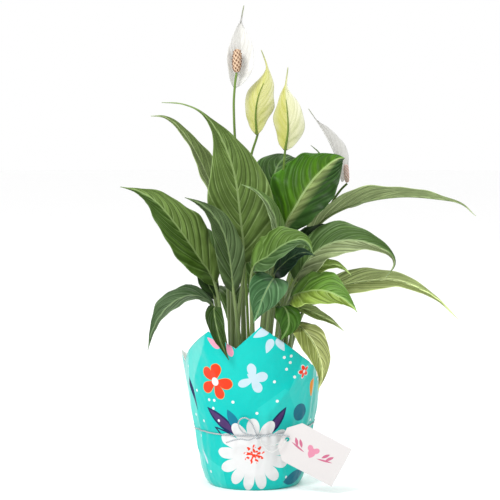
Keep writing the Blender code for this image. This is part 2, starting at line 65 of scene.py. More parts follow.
def addNode(tree, kind, links=None, **settings):
    node = tree.nodes.new("ShaderNode" + kind)
    for name, value in settings.items():
        setattr(node, name, value)
    for key, value in (links or {}).items():
        value = result(value)
        if isinstance(value, bpy.types.NodeSocket):
            tree.links.new(value, node.inputs[key])
        else:
            node.inputs[key].default_value = value
    return node


def newMaterial(name, sockets):
    material = bpy.data.materials.new(name)
    material.use_nodes = True
    shader = material.node_tree.nodes["Principled BSDF"]
    for key, value in sockets.items():
        shader.inputs[key].default_value = value
    return material, material.node_tree, shader


def clearSelection():
    if bpy.context.object and bpy.context.object.mode != "OBJECT":
        bpy.ops.object.mode_set(mode="OBJECT")
    bpy.ops.object.select_all(action="DESELECT")


def select(*pieces):
    clearSelection()
    for piece in pieces:
        piece.select_set(True)
    bpy.context.view_layer.objects.active = pieces[0]


def joinPieces(name, pieces):
    select(*pieces)
    if len(pieces) > 1:
        bpy.ops.object.join()
    piece = bpy.context.object
    piece.name = name
    piece.data.name = name
    return piece


def applyModifier(piece, kind, **settings):
    select(piece)
    modifier = piece.modifiers.new(kind.lower(), kind)
    for name, value in settings.items():
        setattr(modifier, name, value)
    bpy.ops.object.modifier_apply(modifier=modifier.name)


def smoothLine(points, steps=20):
    # a smooth curve through the points, with its running length
    points = np.array(points, dtype=float)
    ends = np.vstack([2 * points[0] - points[1], points, 2 * points[-1] - points[-2]])
    part = (np.arange(steps) / steps)[:, None]
    spots = []
    for a, b, c, d in zip(ends, ends[1:], ends[2:], ends[3:]):
        spots.append(0.5 * (2 * b + (c - a) * part + (2 * a - 5 * b + 4 * c - d) * part ** 2
                            + (3 * b - a - 3 * c + d) * part ** 3))
    spots = np.vstack(spots + [points[-1:]])
    lengths = np.concatenate([[0], np.cumsum(np.linalg.norm(np.diff(spots, axis=0), axis=1))])
    return {"spots": spots, "lengths": lengths, "knots": lengths[::steps], "length": lengths[-1]}


def lineAt(line, lengths):
    lengths = np.clip(lengths, 0, line["length"])
    return np.stack([np.interp(lengths, line["lengths"], line["spots"][:, k]) for k in range(3)], axis=-1)


def unit(vectors):
    return vectors / np.linalg.norm(vectors, axis=-1, keepdims=True)


def tangents(line, lengths, reach=2.0):
    return unit(lineAt(line, lengths + reach) - lineAt(line, lengths - reach))


def addSheet(name, columns, rows, placeIt, closed=False, uv=None):
    # a grid primitive whose points go where placeIt sends (across, along), both 0 to 1
    clearSelection()
    bpy.ops.mesh.primitive_grid_add(x_subdivisions=columns, y_subdivisions=rows, size=2)
    piece = bpy.context.object
    piece.name = name
    mesh = piece.data
    flat = np.empty(len(mesh.vertices) * 3)
    mesh.vertices.foreach_get("co", flat)
    flat = flat.reshape(-1, 3)
    across, along = (flat[:, 0] + 1) / 2, (flat[:, 1] + 1) / 2
    mesh.vertices.foreach_set("co", (placeIt(across, along) * mm).ravel())
    loops = np.empty(len(mesh.loops), dtype=np.int64)
    mesh.loops.foreach_get("vertex_index", loops)
    for layer, (u, v) in (uv(across, along) if uv else {"UVMap": (across, along)}).items():
        target = mesh.uv_layers.get(layer) or mesh.uv_layers.new(name=layer)
        target.data.foreach_set("uv", np.stack([u[loops], v[loops]], axis=1).ravel())
    if closed:
        bpy.ops.object.mode_set(mode="EDIT")
        bpy.ops.mesh.select_all(action="SELECT")
        bpy.ops.mesh.remove_doubles(threshold=0.00001)
        bpy.ops.object.mode_set(mode="OBJECT")
    mesh.shade_smooth()
    mesh.update()
    return piece


def addTube(name, spots, radii, sides=10, capped=True):
    # a round bar along the spots, its frame carried from point to point
    spots = np.array(spots, dtype=float)
    radii = np.broadcast_to(radii, len(spots))
    ahead = unit(np.gradient(spots, axis=0))
    side = np.cross(ahead[0], (0.3, 1, 0.2))
    sideways, upward = [], []
    for way in ahead:
        side = side - way * np.dot(side, way)
        side = side / np.linalg.norm(side)
        sideways.append(side)
        upward.append(np.cross(way, side))
    sideways, upward = np.array(sideways), np.array(upward)
    rows = len(spots) - 1
    lengths = np.concatenate([[0], np.cumsum(np.linalg.norm(np.diff(spots, axis=0), axis=1))])

    def around(across, along):
        row = np.rint(along * rows).astype(int)
        angle = -2 * math.pi * across[:, None]
        out = np.cos(angle) * sideways[row] + np.sin(angle) * upward[row]
        return spots[row] + out * radii[row][:, None]

    def unrolled(across, along):
        return {"UVMap": (across, lengths[np.rint(along * rows).astype(int)])}

    piece = addSheet(name, sides, rows, around, closed=True, uv=unrolled)
    if capped:
        bpy.ops.object.mode_set(mode="EDIT")
        bpy.ops.mesh.select_all(action="SELECT")
        bpy.ops.mesh.fill_holes(sides=sides + 1)
        bpy.ops.mesh.normals_make_consistent(inside=False)
        bpy.ops.object.mode_set(mode="OBJECT")
    return piece


def setAttribute(piece, name, values):
    attribute = piece.data.attributes.new(name, "FLOAT", "POINT")
    attribute.data.foreach_set("value", values.astype(np.float32))


def setSkin(piece, colours, shade, across, veins=1.0):
    # a colour at every point, from one side of the midrib to the other; its alpha is the strength of the
    # pale vein lines, which are partly painted sheen
    stops = {2: [-0.1, 0.1], 4: [-0.9, -0.1, 0.1, 0.45]}[len(colours)]
    values = np.array([toLinear(colour) for colour in colours]) * (shade, shade, shade, 1)
    blended = np.stack([np.interp(across, stops, values[:, k]) for k in range(4)], axis=1)
    blended[:, 3] = veins
    attribute = piece.data.attributes.new("skin", "FLOAT_COLOR", "POINT")
    attribute.data.foreach_set("color", blended.astype(np.float32).ravel())


def readAcross(piece):
    # the place across the blade of every point, read back from the second map
    mesh = piece.data
    loops = np.empty(len(mesh.loops), dtype=np.int64)
    mesh.loops.foreach_get("vertex_index", loops)
    flat = np.empty(len(mesh.loops) * 2)
    mesh.uv_layers["bladePlace"].data.foreach_get("uv", flat)
    across = np.zeros(len(mesh.vertices))
    across[loops] = flat.reshape(-1, 2)[:, 0]
    return across


def coverWith(piece, materials):
    # fills the slots in order; emptying them first would send every face back to the first slot
    slots = piece.data.materials
    while len(slots) < len(materials):
        slots.append(None)
    for index, material in enumerate(materials):
        slots[index] = material


def coverNode(name, material):
    # a CAD node has one slot
    slots = nodes[name].data.materials
    slots.clear()
    slots.append(material)


def finishPiece(piece, replaced, materials):
    coverWith(piece, materials)
    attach(piece, "root")
    if replaced:
        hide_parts(*replaced)


# camera, floor and light

# metres, degrees and, for the lens and its sensor, millimetres
view = {"target": (-0.0044, 0.0, 0.258), "distance": 2.2, "elevation": 4.5, "lens": 144.0, "sensor": 36.0}


def addCamera():
    clearSelection()
    rise = math.radians(view["elevation"])
    back = Vector((0, -math.cos(rise), math.sin(rise)))
    place = Vector(view["target"]) + back * view["distance"]
    bpy.ops.object.camera_add(location=place, rotation=(-back).to_track_quat("-Z", "Y").to_euler())
    camera = bpy.context.object
    camera.data.lens = view["lens"]
    camera.data.sensor_width = view["sensor"]
    camera.data.clip_end = 100.0  # metres, past the floor's far edge
    bpy.context.scene.camera = camera


studio = {
    "sky": "#FFFFFF", "skyStrength": 1.0, "floor": "#FEFEFE", "floorGrain": "#FCFCFC", "floorRadius": 9.0,
    # name, place, aim, width of the lamp in metres and its watts
    "lights": [("keyLight", (-0.9, -1.3, 1.6), (0, 0, 0.25), 0.7, 30.0),
               ("topLight", (0.5, 0.4, 1.9), (0, 0, 0.2), 0.8, 12.0)],
}


def addStudio():
    world = bpy.data.worlds.new("studioSky")
    world.use_nodes = True
    bpy.context.scene.world = world
    tree = world.node_tree
    sky = tree.nodes["Background"]
    sky.inputs["Color"].default_value = toLinear(studio["sky"])
    sky.inputs["Strength"].default_value = studio["skyStrength"]
    clearSelection()
    bpy.ops.mesh.primitive_circle_add(vertices=96, radius=studio["floorRadius"], fill_type="TRIFAN")
    floor = bpy.context.object
    floor.name = "studioFloor"
    # matt floor paint, with a grain too faint to see
    material, tree, shader = newMaterial("paleFloorPaint", {"Roughness": 0.9})
    grain = addNode(tree, "TexNoise", {"Scale": 6.0})
    tint = addNode(tree, "Mix", {0: grain, 6: toLinear(studio["floor"]), 7: toLinear(studio["floorGrain"])},
                   data_type="RGBA")
    tree.links.new(result(tint), shader.inputs["Base Color"])
    floor.data.materials.append(material)
    for name, place, aim, size, power in studio["lights"]:
        bpy.ops.object.light_add(type="AREA", location=place)
        light = bpy.context.object
        light.name = name
        light.rotation_euler = (Vector(aim) - Vector(place)).to_track_quat("-Z", "Y").to_euler()
        light.data.size = size
        light.data.energy = power
    bpy.context.scene.view_settings.view_transform = "Standard"


addCamera()
addStudio()
print("camera and studio set")


# wrap: the shape that the string and the print follow

# millimetres and degrees; azimuth runs from the front, positive towards the right
wrap = {
    "film": 0.35, "columns": 288, "rows": 84, "floorShare": 0.12,
    # height and radius
    "profile": [(0, 50), (6, 54), (19, 58.5), (52, 64), (68, 67), (85, 70), (112, 73), (140, 75),
                (190, 77)],
    # azimuth and height of the cut edge
    "edge": [(-180, 128), (-150, 138), (-125, 130), (-105, 146), (-90, 135), (-40, 175), (-15, 158),
             (5, 182), (55, 137), (75, 134), (95, 123), (120, 119), (150, 136), (180, 128)],
    # the corner that sticks out, more and more above cornerFrom
    "cornerAzimuth": -107.0, "cornerReach": 9.0, "cornerSpread": 13.0, "cornerFrom": 75, "cornerOver": 70,
    "stringHeight": 67.0, "stringRise": 4.5,
    # folds of the film: azimuth and height of each end, how far the crest stands out, and its half width
    "folds": [(-46, 160, -9, 78, 2.2, 11), (56, 150, 11, 86, 2.6, 12), (-68, 146, -74, 40, 2.2, 7),
              (58, 150, 56, 40, 2.2, 7), (-28, 60, -40, 6, 1.0, 6), (22, 62, 34, 8, 1.0, 6),
              (-130, 130, -120, 20, 1.6, 8), (-165, 128, -170, 20, 1.4, 8), (100, 118, 104, 20, 1.5, 8),
              (140, 130, 132, 20, 1.6, 8), (165, 126, 172, 70, 1.3, 7), (4, 70, 0, 8, 0.8, 8)],
    "degreeLength": 1.22, "crestSharpness": 1.3,  # one degree round the wrap is about 1.22 mm
    # what the string does to the film, and how far up and down each shows
    "pleats": 34, "pleatDepth": 0.7, "pleatSpan": 20, "pinch": 1.1, "pinchSpan": 7,
    "printRadius": 70,  # the film is unrolled at this radius for its print
}


def profileRadius(height):
    table = np.array(wrap["profile"], dtype=float)
    return np.interp(height, table[:, 0], table[:, 1])


def edgeHeight(azimuth):
    table = np.array(wrap["edge"], dtype=float)
    return np.interp(azimuth, table[:, 0], table[:, 1])


def stringLevel(azimuth):
    return wrap["stringHeight"] + wrap["stringRise"] * np.sin(np.radians(azimuth - 60))


def wrapRadius(azimuth, height):
    radius = profileRadius(height)
    away = (azimuth - wrap["cornerAzimuth"]) / wrap["cornerSpread"]
    lift = np.clip((height - wrap["cornerFrom"]) / wrap["cornerOver"], 0, 1)
    radius = radius + wrap["cornerReach"] * lift * np.exp(-away ** 2)
    for az0, z0, az1, z1, crest, width in wrap["folds"]:
        x, y = (azimuth - az0) * wrap["degreeLength"], height - z0
        runX, runY = (az1 - az0) * wrap["degreeLength"], z1 - z0
        part = np.clip((x * runX + y * runY) / (runX ** 2 + runY ** 2), 0, 1)
        gap = np.hypot(x - part * runX, y - part * runY)
        radius = radius + crest * np.clip(1 - gap / width, 0, 1) ** wrap["crestSharpness"]
    near = height - stringLevel(azimuth)
    radius = radius - wrap["pinch"] * np.exp(-(near / wrap["pinchSpan"]) ** 2)
    turn = np.radians(azimuth)
    pleat = np.sin(wrap["pleats"] * turn + 2.0 * np.sin(3 * turn)) * np.sin(5 * turn + 0.6)
    return radius + wrap["pleatDepth"] * pleat * np.exp(-(near / wrap["pleatSpan"]) ** 2)


def aroundPot(azimuth, radius, height):
    turn = np.radians(azimuth)
    return np.stack([radius * np.sin(turn), -radius * np.cos(turn), height], axis=-1)


# string, bow, thread

# radii and routes in millimetres
cords = {
    "string": 0.75, "thread": 0.45, "sides": 12, "step": 1.2,
    "knot": (4.0, -71.6, 63.0), "knotTurns": 3, "knotLean": 0.5, "knotDepth": 1.2,
    "bowLoop": [(2.6, -74.4, 65.4), (-0.5, -73.5, 73), (-4, -73, 80), (-9, -73, 83.5), (-14, -73, 82.5),
                (-17, -72.6, 77.5), (-14.5, -72.4, 70.5), (-9, -72.6, 66.5), (-2, -73.4, 65)],
    "tailRight": [(7.4, -73.2, 63.4), (14, -75.6, 64.5), (22, -77.2, 66.5), (30, -77.8, 66),
                  (38, -77.6, 64)],
    "tailLeft": [(0.6, -73.2, 62), (-6, -73.6, 59.5), (-14, -72.8, 60.5), (-22, -71.4, 59),
                 (-30, -69.8, 56)],
    "tagThread": [(6, -74.4, 61), (11, -77, 52), (19, -78.6, 47.5), (28, -79, 53), (34, -77.6, 59.6),
                  (35.5, -75, 60.6), (33.5, -72.8, 59.6), (28, -72.3, 57), (20, -73.2, 53.5),
                  (11, -73.6, 56), (7, -74.2, 57.8)],
}


def twistedYarn(name, light, dark, turns):
    # metallised yarn twisted from two plies, which gives it a fine slanted shine
    material, tree, shader = newMaterial(name, {"Roughness": 0.42, "Metallic": 0.35})
    place = addNode(tree, "SeparateXYZ", {0: addNode(tree, "UVMap", uv_map="UVMap")})
    run = addNode(tree, "Math", {0: place.outputs["Y"], 1: turns}, operation="MULTIPLY")
    slant = addNode(tree, "Math", {0: place.outputs["X"], 1: 2.0, 2: run}, operation="MULTIPLY_ADD")
    turn = addNode(tree, "Math", {0: slant, 1: 2 * math.pi}, operation="MULTIPLY")
    wave = addNode(tree, "Math", {0: turn}, operation="SINE")
    level = addNode(tree, "MapRange", {0: wave, 1: -1.0, 2: 1.0, 3: 0.0, 4: 1.0})
    colour = addNode(tree, "Mix", {0: level, 6: toLinear(dark), 7: toLinear(light)}, data_type="RGBA")
    tree.links.new(result(colour), shader.inputs["Base Color"])
    bump = addNode(tree, "Bump", {"Strength": 0.8, "Distance": 0.0003, "Height": level})
    tree.links.new(bump.outputs[0], shader.inputs["Normal"])
    return material


def addCord(name, node, route, radius, material):
    line = smoothLine(route)
    count = max(24, int(line["length"] / cords["step"]))
    spots = lineAt(line, np.linspace(0, line["length"], count))
    piece = addTube(name, spots, radius, sides=cords["sides"])
    finishPiece(piece, [node], [material])


def addCords():
    # turns of twist a millimetre
    yarn = twistedYarn("silverGiftYarn", "#C9CDD0", "#6E7478", 0.55)
    thread = twistedYarn("paleCottonThread", "#F2F2F0", "#B9B9B7", 0.9)
    addCord("bowLoop", "bow_loop", cords["bowLoop"], cords["string"], yarn)
    addCord("bowTailRight", "bow_tail_right", cords["tailRight"], cords["string"], yarn)
    addCord("bowTailLeft", "bow_tail_left", cords["tailLeft"], cords["string"], yarn)
    addCord("tagThread", "tag_loop", cords["tagThread"], cords["thread"], thread)
    # the band is a closed ring that sinks a little into the film
    azimuth = np.linspace(-180, 180, 241)
    height = stringLevel(azimuth)
    spots = aroundPot(azimuth, wrapRadius(azimuth, height) + cords["string"] * 0.8, height)
    band = addTube("stringBand", spots, cords["string"], sides=cords["sides"], capped=False)
    select(band)
    bpy.ops.object.mode_set(mode="EDIT")
    bpy.ops.mesh.select_all(action="SELECT")
    bpy.ops.mesh.remove_doubles(threshold=0.0002)
    bpy.ops.mesh.normals_make_consistent(inside=False)
    bpy.ops.object.mode_set(mode="OBJECT")
    finishPiece(band, ["string_band"], [yarn])
    # the knot is three tight turns of the same yarn
    turn = np.linspace(0, cords["knotTurns"] * 2 * math.pi, 90)
    deep = np.linspace(-cords["knotDepth"], cords["knotDepth"], 90)
    across = 2.0 * np.cos(turn) * math.cos(cords["knotLean"]) + deep * 0.4
    inward = 1.1 * np.sin(turn + 0.8) - 0.4
    spots = np.array(cords["knot"]) + np.stack([across, inward, 2.1 * np.sin(turn)], axis=-1)
    knot = addTube("bowKnot", spots, cords["string"], sides=cords["sides"])
    finishPiece(knot, ["bow_knot"], [yarn])


addCords()
print("cords laid")


# leaves

leafLook = {
    "petiole": 2.1, "blade": 0.55, "veinEvery": 14.0, "veinRise": 0.8, "ripple": 0.6, "columns": 36,
    "rowsPerVein": 9, "curl": 0.12, "wave": 0.07, "waves": 3, "shade": 0.74,
    "foot": 100.3, "rings": 90,
    # how thick the stalk is from the soil to the blade, in petioles, and how much of that it loses on the
    # way to the tip
    "thickness": ([0, 0.3, 0.6, 0.9, 1.0], [2.0, 1.75, 1.2, 0.95, 0.85]), "tipLoss": 0.72,
    "midribReach": 0.93,
}

# stem and blade hold the spine's points in mm, and half is the blade's widest half width
# face is the way that the upper side looks, from base to tip, and fold turns each half up, in degrees
# widest, taper and tail shape the outline, skin runs from left to right, and veins is how strongly the pale
# vein lines, partly painted sheen, show
leaves = {
    "leaf_tall_left": dict(
        stem=[(-14, -10), (-18, -21, 170)],
        blade=[(-11, -26, 245), (-15, -38, 299), (-22, -44, 346), (-37, -36, 384), (-56, -22, 408),
               (-77, -9, 418), (-101, -2, 420)],
        half=38, face=[(-0.1, -1, 0.1), (0, -1, 0.1), (0.5, -0.8, 0.6), (0.3, -0.5, 0.8)], fold=(24, 16),
        widest=0.29, taper=3.0, skin=("#76924A", "#6F8A45")),
    "leaf_slim_upper_left": dict(
        stem=[(-22, 12), (-24, 20, 190)],
        blade=[(-26, 24, 265), (-44, 28, 318), (-64, 30, 363), (-82, 28, 390), (-98, 25, 403),
               (-114, 22, 405)],
        half=20, face=[(0.7, -0.5, 0.5), (0.6, -0.5, 0.6)], fold=(24, 24), skin=("#98AC70", "#869C5E")),
    "leaf_broad_left": dict(
        stem=[(-24, -10), (-34, -24, 170)],
        blade=[(-42, -34, 222), (-60, -46, 254), (-83, -54, 288), (-104, -55, 313), (-124, -52, 325),
               (-144, -48, 330)],
        half=29, face=[(0.4, -0.8, 0.4), (0.3, -0.7, 0.7)], fold=(18, 18), widest=0.42, taper=1.0,
        skin=("#52722C", "#76924A")),
    "leaf_dark_left": dict(
        stem=[(-12, -26), (-17, -38, 170)],
        blade=[(-22, -50, 216), (-27, -58, 258), (-34, -63, 284), (-46, -64, 303), (-59, -62, 313),
               (-74, -58, 319)],
        half=17, face=[(0.1, -1, 0.2), (0.5, -0.8, 0.4)], fold=(22, 22), skin=("#546C3E", "#5E7648")),
    "leaf_low_left": dict(
        stem=[(-32, -6), (-38, -14, 150)],
        blade=[(-44, -20, 196), (-61, -30, 210), (-79, -38, 209), (-96, -44, 197), (-108, -47, 178),
               (-115, -48, 153)],
        half=17, face=[(-0.2, -0.5, 0.9), (-0.5, -0.6, 0.6), (-0.8, -0.5, 0.2)], fold=(22, 22),
        skin=("#6A825C", "#5A764C")),
    "leaf_shade_left": dict(
        stem=[(-30, 4), (-36, -2, 160)],
        blade=[(-43, -6, 204), (-50, -8, 220), (-55, -8, 234), (-60, -6, 248), (-66, -2, 262)],
        half=13, face=[(0.4, -0.8, 0.4), (0.3, -0.7, 0.7)], fold=(20, 20), skin=("#34521F", "#2C4A1C")),
    "leaf_curled_front": dict(
        stem=[(-22, -24), (-32, -38, 160)],
        blade=[(-40, -48, 196), (-43, -62, 199), (-41, -76, 187), (-37, -82, 171), (-32, -83, 158),
               (-27, -82, 147)],
        half=10, face=[(0.1, -0.4, 0.9), (-0.2, -1, 0.3), (-0.2, -1, 0.1)], fold=(15, 15),
        skin=("#3F5C24", "#36521F")),
    # painted light and shade: this leaf's skin runs from a vivid green half, painted as if lit through from
    # behind, past a paler strip by the midrib to a darker half of painted shade
    "leaf_broad_right": dict(
        stem=[(10, 0), (19, -6, 180)],
        blade=[(31, -16, 274), (46, -18, 308), (63, -14, 334), (79, -6, 350), (91, 2, 358), (100, 8, 359)],
        half=40, face=[(-0.4, -0.9, 0.3), (-0.3, -0.9, 0.4), (-0.1, -0.8, 0.6)], fold=(12, 24),
        widest=0.48, taper=0.3, skin=("#47800A", "#568812", "#A2B472", "#30561A"), veins=0.3),
    "leaf_round_back": dict(
        stem=[(4, 16), (12, 22, 200)],
        blade=[(17, 24, 275), (18, 24, 306), (21, 26, 333), (28, 32, 352), (40, 42, 359), (52, 54, 352)],
        half=27, face=[(-0.1, -1, 0.1), (-0.1, -0.8, 0.5), (-0.1, -0.3, 1)], fold=(14, 14), widest=0.45,
        skin=("#4F7238", "#4F7238")),
    "leaf_long_right": dict(
        stem=[(20, 14), (32, 14, 180)],
        blade=[(56, 13, 262), (74, 12, 288), (98, 9, 303), (130, 4, 313), (166, 0, 317), (204, -4, 314),
               (227, -6, 309), (243, -8, 296)],
        half=21, face=[(-0.4, 0.4, 0.8), (0, 0.5, 0.9), (0, 0.2, 1)], fold=(30, 30),
        skin=("#8EA468", "#9AAE72")),
    "leaf_arched_right": dict(
        stem=[(16, -14), (28, -26, 180)],
        blade=[(44, -33, 226), (64, -38, 256), (87, -46, 270), (112, -52, 272), (133, -56, 266),
               (147, -58, 257), (150, -58, 246), (141, -58, 233)],
        half=25, face=[(-0.4, -0.7, 0.6), (-0.1, -0.7, 0.7), (0.2, -0.7, 0.7), (0.8, -0.6, 0.2)],
        fold=(24, 16), widest=0.34, taper=1.4, skin=("#5E7E42", "#A5B680")),
    "leaf_shade_right": dict(
        stem=[(20, 2), (30, -2, 190)],
        blade=[(44, -8, 246), (58, -12, 264), (74, -14, 274), (90, -14, 275), (102, -14, 270),
               (110, -12, 262)],
        half=19, face=[(-0.3, -0.7, 0.6), (0.2, -0.6, 0.8)], fold=(20, 20), skin=("#3A5530", "#3A5530")),
    "leaf_broad_low_right": dict(
        stem=[(24, -30), (30, -38, 165)],
        blade=[(39, -45, 207), (55, -63, 218), (74, -82, 221), (92, -94, 215), (103, -101, 207),
               (108, -105, 201)],
        half=26, face=[(-0.2, -0.7, 0.7), (0, -0.8, 0.6)], fold=(16, 16), skin=("#74A044", "#9AB652"),
        veins=0.6),
    # painted light: this leaf's skin is lighter than the leaf itself, to undo the shadow that the arched
    # leaf above casts on it
    "leaf_thin_mid_right": dict(
        stem=[(28, -4), (34, -11, 170)],
        blade=[(41, -20, 210), (53, -33, 231), (69, -37, 242), (86, -39, 245), (97, -39, 241),
               (105, -37, 234)],
        half=13, face=[(-0.3, -0.7, 0.6), (0.2, -0.7, 0.7)], fold=(22, 22), skin=("#C0E078", "#C0E078")),
    "leaf_long_low_right": dict(
        stem=[(30, 4), (40, 2, 150)],
        blade=[(58, -4, 198), (76, -9, 213), (100, -15, 221), (127, -20, 226), (154, -24, 227),
               (177, -26, 219), (200, -26, 206), (223, -24, 184)],
        half=17, face=[(-0.3, -0.7, 0.6), (0, -0.6, 0.7), (0.4, -0.5, 0.8)], fold=(20, 12), widest=0.3,
        taper=1.0, skin=("#D4E69A", "#CCDC8E")),
    # painted shade: the second skin colour is darker and bluer, for the half of this leaf that lies in shade
    "leaf_light_centre": dict(
        stem=[(0, -30), (-2, -46, 180)],
        blade=[(-2, -60, 240), (15, -74, 257), (31, -84, 270), (46, -90, 276), (56, -92, 273),
               (62, -92, 262)],
        half=25, face=[(-0.4, -0.6, 0.7), (-0.2, -0.7, 0.7), (0.2, -0.7, 0.7)], fold=(30, 20),
        skin=("#6E9044", "#5C7C4A")),
    "leaf_shade_centre": dict(
        stem=[(10, -10), (15, -24, 180)],
        blade=[(21, -36, 230), (31, -47, 246), (43, -55, 256), (54, -60, 260), (65, -62, 257)],
        half=15, face=[(-0.3, -0.8, 0.5), (0, -0.8, 0.6)], fold=(14, 14), skin=("#345238", "#2F4D38")),
    "leaf_slim_centre": dict(
        stem=[(4, -22), (10, -37, 180)],
        blade=[(23, -48, 262), (24, -54, 290), (15, -60, 312), (2, -63, 326), (-13, -63, 333)],
        half=9, face=[(0.3, -0.9, 0.2), (0.4, -0.6, 0.7)], fold=(26, 26), skin=("#8FA873", "#6C8C4A")),
    "leaf_hanging_centre": dict(
        stem=[(8, -38), (16, -52, 190)],
        blade=[(21, -60, 226), (21, -70, 233), (16, -79, 227), (9, -82, 213), (4, -82, 199),
               (-1, -80, 186)],
        half=20, face=[(0.2, 0, 1), (0.1, -1, 0.2), (0, -1, 0)], fold=(14, 14),
        skin=("#5C8858", "#528050")),
    "leaf_hanging_right": dict(
        stem=[(16, -40), (24, -52, 165)],
        blade=[(27, -61, 197), (32, -67, 202), (36, -72, 195), (37, -73, 185), (34, -72, 176),
               (28, -68, 166)],
        half=14, face=[(0.2, 0.2, 1), (0.1, -1, 0.2), (0, -1, 0)], fold=(12, 12),
        skin=("#4E7A2A", "#487626"), veins=0.4),
    "leaf_strap_low_right": dict(
        stem=[(30, -18), (35, -28, 160)],
        blade=[(38, -38, 196), (53, -48, 198), (69, -55, 192), (84, -59, 185), (96, -61, 176)],
        half=8, face=[(0, -0.6, 0.8), (0.2, -0.8, 0.5)], fold=(20, 20), skin=("#B8CC84", "#A4BA6C")),
    "leaf_drooping_front": dict(
        stem=[(32, -30), (38, -40, 150)],
        blade=[(43, -50, 180), (52, -64, 178), (63, -77, 165), (70, -84, 148), (72, -87, 132),
               (68, -87, 115)],
        half=16, face=[(-0.1, -0.4, 0.9), (0.3, -0.9, 0.2), (0.2, -1, 0)], fold=(14, 14),
        skin=("#BAC47C", "#A6B464")),
    "leaf_back_left": dict(
        stem=[(-28, 18), (-38, 30, 170)],
        blade=[(-42, 44, 222), (-52, 62, 252), (-62, 84, 272), (-72, 106, 280), (-82, 126, 276),
               (-90, 142, 264)],
        half=14, face=[(0.4, -0.6, 0.7), (0.2, -0.4, 0.9)], fold=(20, 20), skin=("#55733A", "#55733A")),
    "leaf_back_upright": dict(
        stem=[(-10, 24), (-12, 34, 190)],
        blade=[(-12, 46, 250), (-14, 66, 300), (-16, 90, 330), (-18, 118, 344), (-20, 146, 338),
               (-21, 168, 318)],
        half=27, face=[(0, -0.8, 0.5), (0, -0.3, 1), (0, 0.5, 0.9)], fold=(18, 18),
        skin=("#5C7A3C", "#5C7A3C")),
    "leaf_back_centre": dict(
        stem=[(14, 28), (15, 38, 150)],
        blade=[(11, 50, 190), (7, 72, 236), (5, 100, 266), (7, 130, 274), (11, 158, 264), (15, 180, 242)],
        half=24, face=[(0, -0.7, 0.6), (0, -0.2, 1), (0, 0.6, 0.8)], fold=(18, 18),
        skin=("#557638", "#557638")),
    "leaf_back_right": dict(
        stem=[(26, 22), (36, 32, 160)],
        blade=[(46, 42, 212), (60, 56, 236), (75, 72, 250), (88, 88, 257), (98, 102, 257),
               (105, 112, 253)],
        half=15, face=[(-0.3, -0.5, 0.8), (0.1, -0.4, 0.9), (0.5, 0.2, 0.8)], fold=(20, 20),
        skin=("#6A8A40", "#6A8A40")),
    "leaf_back_tall_right": dict(
        stem=[(10, 22), (18, 32, 190)],
        blade=[(29, 46, 262), (44, 55, 300), (60, 64, 330), (71, 72, 350), (74, 78, 362), (65, 84, 371)],
        half=20, taper=1.6, face=[(0, -0.8, 0.5), (0, -0.3, 1), (0, 0.5, 0.9)], fold=(18, 18),
        skin=("#5C7A3C", "#5C7A3C")),
    "leaf_back_middle_left": dict(
        stem=[(-22, 28), (-27, 40, 170)],
        blade=[(-30, 54, 220), (-34, 76, 250), (-38, 99, 266), (-42, 120, 268), (-46, 140, 260),
               (-50, 156, 246)],
        half=14, face=[(0.1, -0.6, 0.7), (0, -0.2, 1), (-0.1, 0.5, 0.9)], fold=(18, 18),
        skin=("#55733A", "#55733A")),
    "leaf_back_low_right": dict(
        stem=[(20, 36), (24, 45, 140)],
        blade=[(28, 54, 172), (32, 72, 192), (35, 93, 196), (37, 112, 184), (38, 126, 162),
               (38, 136, 138)],
        half=16, face=[(0, -0.4, 0.9), (0, 0.3, 1), (0, 0.9, 0.4)], fold=(16, 16),
        skin=("#6A8A40", "#6A8A40")),
    "leaf_back_low": dict(
        stem=[(-14, 34), (-18, 44, 140)],
        blade=[(-20, 54, 176), (-22, 74, 200), (-24, 98, 206), (-25, 120, 192), (-26, 136, 168),
               (-27, 146, 142)],
        half=19, face=[(0, -0.4, 0.9), (0, 0.3, 1), (0, 0.9, 0.4)], fold=(16, 16),
        skin=("#5C7A3C", "#5C7A3C")),
}


def outline(part, widest=0.38, taper=0.7, tail=0.0):
    # half width along the blade, 0 at the base, 1 at its widest, drawn out to the tip
    body = np.clip(part / (1 - tail), 0, 1)
    body = np.sin(math.pi * body ** (math.log(0.5) / math.log(widest))) ** (0.8 + taper * body)
    point = 0.35 * tail * np.clip((1 - part) / 0.3, 0, 1)
    return (body ** 3 + point ** 3) ** (1 / 3)


def bladeFrames(line, start, faces, count=200):
    part = np.linspace(0, 1, count + 1)
    lengths = start + (line["length"] - start) * part
    ahead = tangents(line, lengths)
    keys = np.linspace(0, 1, len(faces))
    face = unit(np.stack([np.interp(part, keys, [f[k] for f in faces]) for k in range(3)], axis=-1))
    side = unit(np.cross(ahead, face))
    return {"part": part, "spot": lineAt(line, lengths), "side": side, "up": np.cross(side, ahead),
            "length": line["length"] - start}


def readFrames(frames, key, part):
    return np.stack([np.interp(part, frames["part"], frames[key][:, k]) for k in range(3)], axis=-1)


